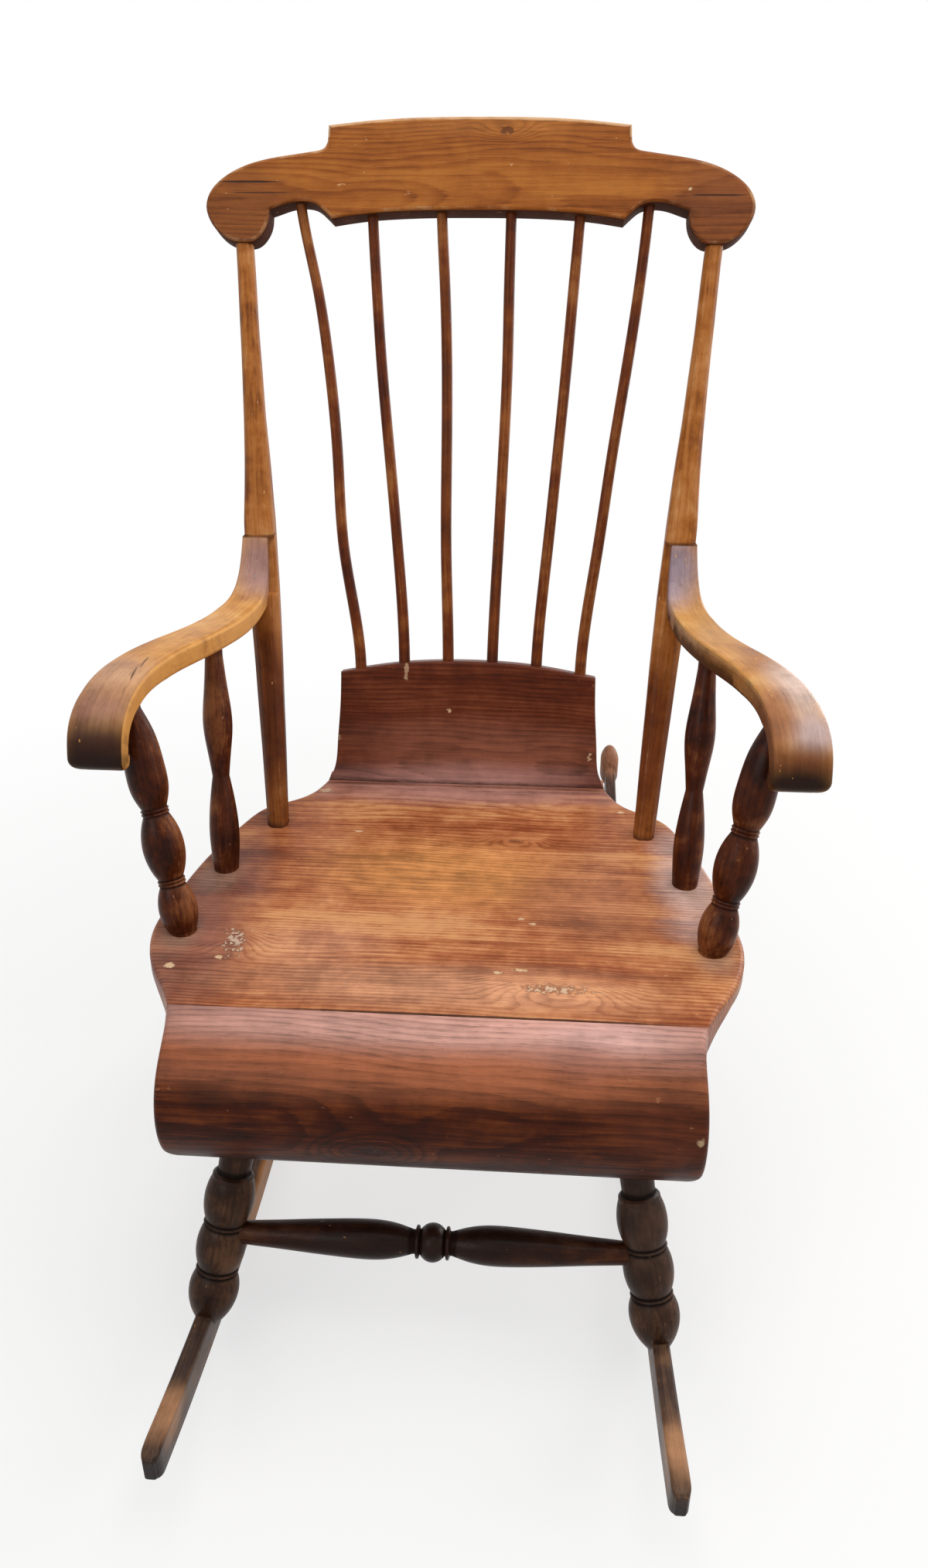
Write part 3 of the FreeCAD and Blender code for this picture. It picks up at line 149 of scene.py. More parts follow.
def piece_from_grid(name, grid, grain, slot, wear_and_highlight=None, grime_and_shade=None, sharp=50, heart=(-35, -22)):
    """A closed piece from loops of points (rows, around, 3), the first and last drawn to a line or a point.

    grain holds each point's place in its own board or turning: across, through
    and along the grain. heart is the place of the tree's heart across and through
    it. The rub and dirt values say how rubbed and how soiled it is there; on some
    pieces the first also holds a painted highlight and the second painted shade.
    """
    rows, around = grid.shape[:2]
    index = np.arange(rows * around).reshape(rows, around)
    low, high = index[:-1], index[1:]
    quads = np.stack([low, np.roll(low, -1, 1), np.roll(high, -1, 1), high], -1).reshape(-1, 4)
    points = grid.reshape(-1, 3)
    a, b, c, d = (points[quads[:, i]] for i in range(4))
    if (np.einsum("ij,ij->", a, np.cross(b, c)) + np.einsum("ij,ij->", a, np.cross(c, d))) < 0:
        quads = quads[:, ::-1]
    mesh = bpy.data.meshes.new(name)
    mesh.vertices.add(len(points))
    mesh.vertices.foreach_set("co", (points * MM).astype(np.float32).ravel())
    mesh.loops.add(quads.size)
    mesh.loops.foreach_set("vertex_index", quads.astype(np.int32).ravel())
    mesh.polygons.add(len(quads))
    mesh.polygons.foreach_set("loop_start", np.arange(0, quads.size, 4, dtype=np.int32))
    mesh.update(calc_edges=True)
    placed = grain.reshape(-1, 3) - [heart[0], heart[1], 0]
    placed[:, 1] += placed[:, 2] * GRAIN_SLOPE
    placed[:, 2] += own_share(name, 0) * GRAIN_SHIFT
    place = mesh.attributes.new("grain_place", "FLOAT_VECTOR", "POINT")
    place.data.foreach_set("vector", (placed * MM).astype(np.float32).ravel())
    # Rub and dirt values per point; on some pieces they also hold a painted highlight and painted shade
    for key, value in (("wear_and_highlight", wear_and_highlight), ("grime_and_shade", grime_and_shade)):
        layer = mesh.attributes.new(key, "FLOAT", "POINT")
        full = np.zeros((rows, around)) if value is None else np.broadcast_to(value, (rows, around))
        layer.data.foreach_set("value", np.clip(full, 0, 1).astype(np.float32).ravel())
    work = bmesh.new()
    work.from_mesh(mesh)
    bmesh.ops.remove_doubles(work, verts=work.verts, dist=WELD)
    work.to_mesh(mesh)
    work.free()
    mesh.polygons.foreach_set("use_smooth", np.ones(len(mesh.polygons), bool))
    mesh.set_sharp_from_angle(angle=math.radians(sharp))
    mesh.materials.append(finishes[slot])
    obj = bpy.data.objects.new(name, mesh)
    bpy.context.scene.collection.objects.link(obj)
    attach(obj, "root")
    return obj


def own_share(name, key):
    """A fixed share between 0 and 1 for a piece's name, so that no two boards share their grain."""
    return (sum((i + 3) * ord(ch) for i, ch in enumerate(name)) * (7 + 4 * key) % 997) / 997


def board_grid(outline, middle, depth, front_round, back_round, back_bevel=False, face_rows=12):
    """Loops of a flat board: from its middle line out over the front, round the rim and back over the rear.

    outline runs round the board, middle gives for each of its points the nearest
    place on the middle line. A point of the front lies between the two; on the
    rim it is set in by r(1 - sin a) and back by r(1 - cos a). Returns the flat
    places, the depth behind the front face and how near the rim each point is.
    """
    way = np.roll(outline, -1, 0) - np.roll(outline, 1, 0)
    way /= np.linalg.norm(way, axis=1)[:, None] + 1e-9
    inward = np.stack([-way[:, 1], way[:, 0]], 1)
    if np.einsum("ij,ij->", middle - outline, inward) < 0:
        inward = -inward
    front = np.broadcast_to(front_round, (len(outline),))
    back = np.broadcast_to(back_round, (len(outline),))
    round_rows = 6
    flats, depths, rims = [], [], []
    for t in np.linspace(1, 0, face_rows) ** 1.25:
        flats.append(mix(outline + inward * front[:, None], middle, t))
        depths.append(np.zeros(len(outline)))
        rims.append(np.full(len(outline), 1 - t))
    for a in np.linspace(0, math.pi / 2, round_rows)[1:]:
        flats.append(outline + inward * (front * (1 - math.sin(a)))[:, None])
        depths.append(front * (1 - math.cos(a)))
        rims.append(np.full(len(outline), 1.0))
    for a in np.linspace(0, math.pi / 2, round_rows):
        turned = a / (math.pi / 2)
        inset, rise = (turned, 1 - turned) if back_bevel else (1 - math.cos(a), 1 - math.sin(a))
        flats.append(outline + inward * (back * inset)[:, None])
        depths.append(depth - back * rise)
        rims.append(np.full(len(outline), 1.0))
    for t in np.linspace(0, 1, face_rows)[1:] ** 0.8:
        flats.append(mix(outline + inward * back[:, None], middle, t))
        depths.append(np.full(len(outline), depth))
        rims.append(np.full(len(outline), 1 - t))
    return np.array(flats), np.array(depths), np.array(rims)


def middle_line(outline, upper, lower, reach):
    """For each outline point, the place half way between the edges at its x, kept within reach."""
    xs = np.linspace(-reach, reach, 161)
    upper, lower = upper[np.argsort(upper[:, 0])], lower[np.argsort(lower[:, 0])]
    level = (np.interp(xs, upper[:, 0], upper[:, 1]) + np.interp(xs, lower[:, 0], lower[:, 1])) / 2
    level = eased(level, 6)
    x = np.clip(outline[:, 0], -reach, reach)
    return np.stack([x, np.interp(x, xs, level)], 1)


def closed_ends(loops, start_round, end_round):
    """Adds ends to a run of loops: each rounds inward as a quarter circle, then closes on its centre."""
    def ending(loop, before, r):
        """The loops past one end: drawn in by r(1 - cos a) and out by r sin a, then shrunk to a point."""
        centre = loop.mean(0)
        away = centre - before.mean(0)
        away /= np.linalg.norm(away)
        arm = loop - centre
        size = np.linalg.norm(arm, axis=1)[:, None] + 1e-9
        out = []
        for a in np.linspace(0, math.pi / 2, 6)[1:]:
            drawn_in = 1 - r * (1 - math.cos(a)) / np.maximum(size, r)
            out.append(centre + arm * drawn_in + away * r * math.sin(a))
        top = out[-1]
        out += [mix(top.mean(0), top, s) for s in (0.6, 0.25, 0.0)]
        return out
    first = ending(loops[0], loops[1], start_round)
    last = ending(loops[-1], loops[-2], end_round)
    return np.array(first[::-1] + list(loops) + last)


def round_box(count=48):
    """For each place round a rounded rectangle, the corner that it belongs to and the turn of its rim."""
    quarter = count // 4
    angle = np.concatenate([np.linspace(0, math.pi / 2, quarter) + k * math.pi / 2 for k in range(4)])
    corner = np.repeat(np.array([[1, 1], [-1, 1], [-1, -1], [1, -1]], float), quarter, 0)
    return corner, np.stack([np.cos(angle), np.sin(angle)], 1)


def box_loops(centres, across, through, half_w, half_t, r):
    """Rounded rectangles at each centre.

    A point is its corner's centre plus r times the rim's direction, measured
    along across and through.
    """
    corner, rim = round_box()
    half_w, half_t, r = (np.broadcast_to(v, (len(centres),))[:, None] for v in (half_w, half_t, r))
    u = corner[:, 0] * (half_w - r) + rim[:, 0] * r
    v = corner[:, 1] * (half_t - r) + rim[:, 1] * r
    loops = centres[:, None] + across[:, None] * u[..., None] + through[:, None] * v[..., None]
    return loops, u, v


def turning_piece(name, node, slot, foot, axis_end, profile, dents=0.12, wear_lift=1.0):
    """A turned piece: each (radius, height) of the profile goes round the line from foot to axis_end.

    The radius is a little uneven. High rings are rubbed, and grooves hold dirt.
    """
    foot, axis_end = np.asarray(foot, float), np.asarray(axis_end, float)
    axis = (axis_end - foot) / np.linalg.norm(axis_end - foot)
    side = np.cross(axis, [0.0, 1.0, 0.0])
    side /= np.linalg.norm(side)
    back = np.cross(axis, side)
    r, h = profile[:, 0], profile[:, 1]
    a = np.linspace(0, 2 * math.pi, TURNING_SIDES, endpoint=False)
    turn = own_share(name, 5) * 6
    uneven = ripple(h[:, None] / 9 + 2 * a + turn, 3 * a - h[:, None] / 23 + turn, h[:, None] / 31 + a)
    radius = np.maximum(r[:, None] + dents * uneven * np.minimum(r[:, None] / 6, 1), 0)
    radius[r < 0.01] = 0
    x, y = radius * np.cos(a), radius * np.sin(a)
    grid = foot + x[..., None] * side + y[..., None] * back + h[:, None, None] * axis
    grain = np.stack([x, y, np.broadcast_to(h[:, None], x.shape)], -1)
    even_h = np.linspace(h[0], h[-1], 400)
    swell = np.interp(even_h, h, r)
    relief = np.interp(h, even_h, swell - eased(swell, 14))
    wear_and_highlight = np.clip(relief / 2.2 * wear_lift, 0, 1)[:, None]
    grime_and_shade = np.clip(-relief / 1.6, 0, 1)[:, None]
    piece = piece_from_grid(name, grid, grain, slot, wear_and_highlight, grime_and_shade, sharp=40)
    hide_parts(node)


def softened(profile, reach=0.5):
    """A turned outline sampled finely enough that its corners keep a small rounding."""
    fine_step = 0.35
    steps = lengths_along(profile)
    keep = np.concatenate([[True], np.diff(steps) > 1e-6])
    profile, steps = profile[keep], steps[keep]
    fine = np.arange(0, steps[-1], fine_step)
    line = places_on(profile, steps, fine)
    line = eased(line, max(1, int(reach / fine_step)))[::3]
    start = [[0, profile[0, 1]], profile[0]]
    end = [profile[-1], [0, profile[-1, 1]]]
    return np.concatenate([start, line[2:-2], end])


# Finishes
class Recipe:
    """The node tree of a material or of the world, built one step at a time."""

    def __init__(self, owner):
        """Takes a material or world and clears its node tree."""
        owner.use_nodes = True
        self.owner = owner
        self.tree = owner.node_tree
        self.tree.nodes.clear()

    def add(self, kind, inputs=(), **settings):
        """A node of a kind, with its inputs linked to sockets or set to values."""
        made = self.tree.nodes.new(kind)
        for key, value in settings.items():
            setattr(made, key, value)
        for key, value in dict(inputs).items():
            if isinstance(value, bpy.types.NodeSocket):
                self.tree.links.new(value, made.inputs[key])
            else:
                made.inputs[key].default_value = value
        return made

    def sum(self, kind, a, b=0.0, c=0.0):
        """One step of arithmetic on up to three numbers."""
        return self.add("ShaderNodeMath", {0: a, 1: b, 2: c}, operation=kind).outputs[0]

    def noise(self, vector, scale, detail=3.0, rough=0.55, twist=0.0):
        """Cloudy noise, about a half on average."""
        inputs = {
            "Vector": vector, "Scale": scale, "Detail": detail, "Roughness": rough, "Distortion": twist,
        }
        return self.add("ShaderNodeTexNoise", inputs).outputs["Fac"]

    def stretch(self, vector, scale):
        """A place with each of its directions multiplied by a scale."""
        return self.add("ShaderNodeVectorMath", {0: vector, 1: scale}, operation="MULTIPLY").outputs[0]

    def span(self, value, low, high, to_low=0.0, to_high=1.0):
        """A value carried smoothly from one range to another, and held beyond the ends."""
        inputs = {"Value": value, "From Min": low, "From Max": high, "To Min": to_low, "To Max": to_high}
        return self.add("ShaderNodeMapRange", inputs, interpolation_type="SMOOTHSTEP").outputs[0]

    def blend(self, share, a, b, kind="MIX"):
        """Colour b laid over colour a by a share."""
        made = self.add("ShaderNodeMix", {0: share, 6: a, 7: b}, data_type="RGBA", blend_type=kind)
        return made.outputs[2]

    def ramp(self, value, stops):
        """The colour that a value has between stops of (value, colour)."""
        made = self.add("ShaderNodeValToRGB", {"Fac": value})
        line = made.color_ramp
        while len(line.elements) < len(stops):
            line.elements.new(0.5)
        for element, (place, colour) in zip(line.elements, stops):
            element.position = place
            element.color = (*colour, 1)
        return made.outputs[0]

    def seen_directly(self):
        """One for rays from the camera, a gloss or a clear piece, zero for rays that only carry light."""
        ray = self.add("ShaderNodeLightPath").outputs
        direct = self.sum("MAXIMUM", ray["Is Camera Ray"], ray["Is Glossy Ray"])
        return self.sum("MAXIMUM", direct, ray["Is Transmission Ray"])


def late_wood(recipe, place, where, fine, ring_width, knots):
    """How far a point lies in the dark late wood of its growth ring.

    A ring is the distance from the heart line, bent by slow noise and lifted
    round the knots, divided by the ring width. Its fractional part darkens
    slowly and ends sharply.
    """
    slow = recipe.add("ShaderNodeTexNoise", {
        "Vector": recipe.stretch(place, (9, 9, 2.6)), "Scale": 1.0, "Detail": 2.0, "Roughness": 0.45,
    }).outputs["Color"]
    sway = recipe.add("ShaderNodeVectorMath", {0: slow, 1: (0.5, 0.5, 0.5)}, operation="SUBTRACT")
    moved = {0: sway.outputs[0], 1: (0.055, 0.055, 0), 2: place}
    bent = recipe.add("ShaderNodeVectorMath", moved, operation="MULTIPLY_ADD")
    flat = recipe.stretch(bent.outputs[0], (1, 1, 0))
    radius = recipe.add("ShaderNodeVectorMath", {0: flat}, operation="LENGTH").outputs["Value"]
    for spot, size, rise in knots:
        lift = near(recipe, where, spot, size, radius, 1.0, rise * MM, 0.0)
        radius = recipe.sum("ADD", radius, lift)
    year = recipe.sum("MULTIPLY_ADD", radius, 1 / (ring_width * MM), recipe.sum("MULTIPLY", fine, 0.55))
    year = recipe.sum("FRACT", year)
    return recipe.sum("MULTIPLY", recipe.span(year, 0.35, 0.88), recipe.span(year, 0.9, 1.0, 1.0, 0.0))


def tinted(recipe, colour, tone, where, bands, tints, edge):
    """The colour with each tint laid over its place, darker and lighter there as the wood's tone is."""
    shade = recipe.ramp(tone, [(0.1, (0.55,) * 3), (0.5, (1,) * 3), (0.9, (1.35,) * 3)])
    for spot, size, tint, strength in tints:
        share = near(recipe, where, spot, size, bands, 0.75, strength, edge)
        colour = recipe.blend(share, colour, recipe.blend(1.0, (*tint, 1), shade, "MULTIPLY"))
    return colour


def old_varnish(name, dark, middle, light, bare_wood_and_highlight, dirt, ring_width=4.5, figure=0.3, streak=0.5,
                patches=0.5, broad=0.5, mottle=0.35, tint_edge=1.0, gloss=(0.32, 0.52), shine=0.1,
                pore=0.3, wear_and_highlight_start=0.45, knots=(), tints=(), marks=(), flakes=(), cracks=()):
    """Old varnished wood: growth rings, streaks along the grain, worn edges, soiled hollows, and painted
    highlights, sheen and shade.

    The tone is half plus each noise's distance from its middle times its
    amount, and leads from dark to light. The grain is read from each piece's
    grain_place, so it follows the board. A knot is (place, size, rise).
    tints, marks, flakes and cracks are (place, size, colour, strength); some
    tints are painted sheen, highlights and shade, and the bare-wood and dirt colours
    also paint highlights and shade. All places are in the chair's frame.
    """
    recipe = Recipe(bpy.data.materials.new(name))
    place = recipe.add("ShaderNodeAttribute", attribute_name="grain_place").outputs["Vector"]
    where = recipe.add("ShaderNodeTexCoord").outputs["Object"]
    wear_and_highlight = recipe.add("ShaderNodeAttribute", attribute_name="wear_and_highlight").outputs["Fac"]
    grime_and_shade = recipe.add("ShaderNodeAttribute", attribute_name="grime_and_shade").outputs["Fac"]

    # The wood's own tone and colour
    fine = recipe.noise(recipe.stretch(place, (240, 240, 9)), 1.0, 3.0, 0.6)
    late = late_wood(recipe, place, where, fine, ring_width, knots)
    streaks = recipe.noise(recipe.stretch(place, (520, 520, 11)), 1.0, 5.0, 0.62)
    bands = recipe.noise(recipe.stretch(place, (34, 34, 3.2)), 1.0, 3.0, 0.5, 0.3)
    pores = recipe.noise(recipe.stretch(place, (1500, 1500, 55)), 1.0, 2.0, 0.5)
    patch = recipe.noise(where, 12.0, 4.0, 0.6, 0.3)
    cloud = recipe.noise(where, 45.0, 5.0, 0.65)
    flake = recipe.noise(where, 190.0, 3.0, 0.6)
    tone = 0.5
    for value, centre, amount in (
            (late, 0.35, -figure), (streaks, 0.5, streak), (fine, 0.5, streak), (bands, 0.5, broad),
            (patch, 0.5, patches), (cloud, 0.5, mottle)):
        tone = recipe.sum("MULTIPLY_ADD", recipe.sum("SUBTRACT", value, centre), amount * 1.5, tone)
    colour = recipe.ramp(tone, [(0.12, dark), (0.5, middle), (0.88, light)])
    colour = tinted(recipe, colour, tone, where, bands, tints, tint_edge)

    # Pores, rubbed and soiled places with painted highlights and shade, nicks
    tired = recipe.span(pores, 0.6, 0.72, 0.0, pore)
    colour = recipe.blend(tired, colour, (*dirt, 1))
    # This share lays the bare-wood colour on worn places and on painted highlights
    rubbed = recipe.sum("ADD", wear_and_highlight, recipe.sum("MULTIPLY_ADD", patch, 0.6, -0.3))
    rubbed = recipe.sum("ADD", rubbed, recipe.sum("MULTIPLY_ADD", cloud, 0.7, -0.35))
    rubbed = recipe.span(rubbed, wear_and_highlight_start, wear_and_highlight_start + 0.4, 0.0, 0.9)
    colour = recipe.blend(rubbed, colour, (*bare_wood_and_highlight, 1))
    # This share lays the dirt colour on soiled places and on painted shade
    dirty_and_shaded = recipe.sum("ADD", grime_and_shade, recipe.sum("MULTIPLY_ADD", cloud, 0.7, -0.42))
    dirty_and_shaded = recipe.span(dirty_and_shaded, 0.25, 0.85, 0.0, 0.92)
    colour = recipe.blend(dirty_and_shaded, colour, (*dirt, 1))
    nicks = recipe.noise(recipe.stretch(place, (210, 210, 90)), 1.0, 2.0, 0.5)
    nicks = recipe.span(nicks, 0.735, 0.76, 0.0, 0.6)
    colour = recipe.blend(nicks, colour, (*bare_wood_and_highlight, 1))
    deep = recipe.sum("MULTIPLY", nicks, 0.6)
    for group, rough, edge, ragged, level in (
            (marks, flake, 0.35, 2.6, 0.5), (flakes, flake, 0.25, 7.0, 0.43),
            (cracks, cloud, 0.35, 0.5, 0.5)):
        for spot, size, tint, strength in group:
            share = near(recipe, where, spot, size, rough, edge, strength, ragged, level)
            colour = recipe.blend(share, colour, (*tint, 1))
            deep = recipe.sum("MAXIMUM", deep, share)

    # Fine relief and gloss
    height = recipe.sum("MULTIPLY_ADD", streaks, 0.5, recipe.sum("MULTIPLY", late, 0.25 * figure))
    for value, amount in ((cloud, 0.4), (tired, -0.8), (deep, -1.3)):
        height = recipe.sum("MULTIPLY_ADD", value, amount, height)
    bump = recipe.add("ShaderNodeBump", {"Height": height, "Strength": 0.4, "Distance": 0.0012}).outputs[0]
    dull = recipe.sum("MULTIPLY_ADD", streaks, 0.3, recipe.sum("MULTIPLY_ADD", rubbed, 0.25, cloud))
    dull = recipe.span(dull, 0.35, 1.05, gloss[0], gloss[1])
    dull = recipe.sum("MAXIMUM", dull, recipe.sum("MULTIPLY", dirty_and_shaded, 0.95))
    shader = recipe.add("ShaderNodeBsdfPrincipled", {
        "Base Color": colour, "Roughness": dull, "Normal": bump, "Specular IOR Level": shine,
        "Coat Weight": 0.04, "Coat Roughness": 0.2,
    })
    recipe.add("ShaderNodeOutputMaterial", {"Surface": shader.outputs[0]})
    return recipe.owner


def near(recipe, where, spot, size, rough, edge, strength, ragged, level=0.5):
    """How near a point is to a mark: strength inside a ragged ellipsoid, falling to zero at its edge.

    Its distance is the length of its way from the middle, each direction over
    the size there, plus ragged times what the noise is above its level.
    """
    middle = tuple(v * MM for v in spot)
    shrink = tuple(1 / (v * MM) for v in size)
    reach = recipe.add("ShaderNodeVectorMath", {0: where, 1: middle}, operation="SUBTRACT").outputs[0]
    scaled = recipe.add("ShaderNodeVectorMath", {0: reach, 1: shrink}, operation="MULTIPLY").outputs[0]
    away = recipe.add("ShaderNodeVectorMath", {0: scaled}, operation="LENGTH").outputs["Value"]
    away = recipe.sum("ADD", away, recipe.sum("MULTIPLY_ADD", rough, ragged, -ragged * level))
    return recipe.span(away, 1.0 - edge, 1.0 + edge * 0.3, strength, 0.0)


CREAM = (0.72, 0.5, 0.3)
DUST = (0.33, 0.21, 0.15)
CHAR = (0.018, 0.011, 0.009)
SPLIT = (0.02, 0.008, 0.005)
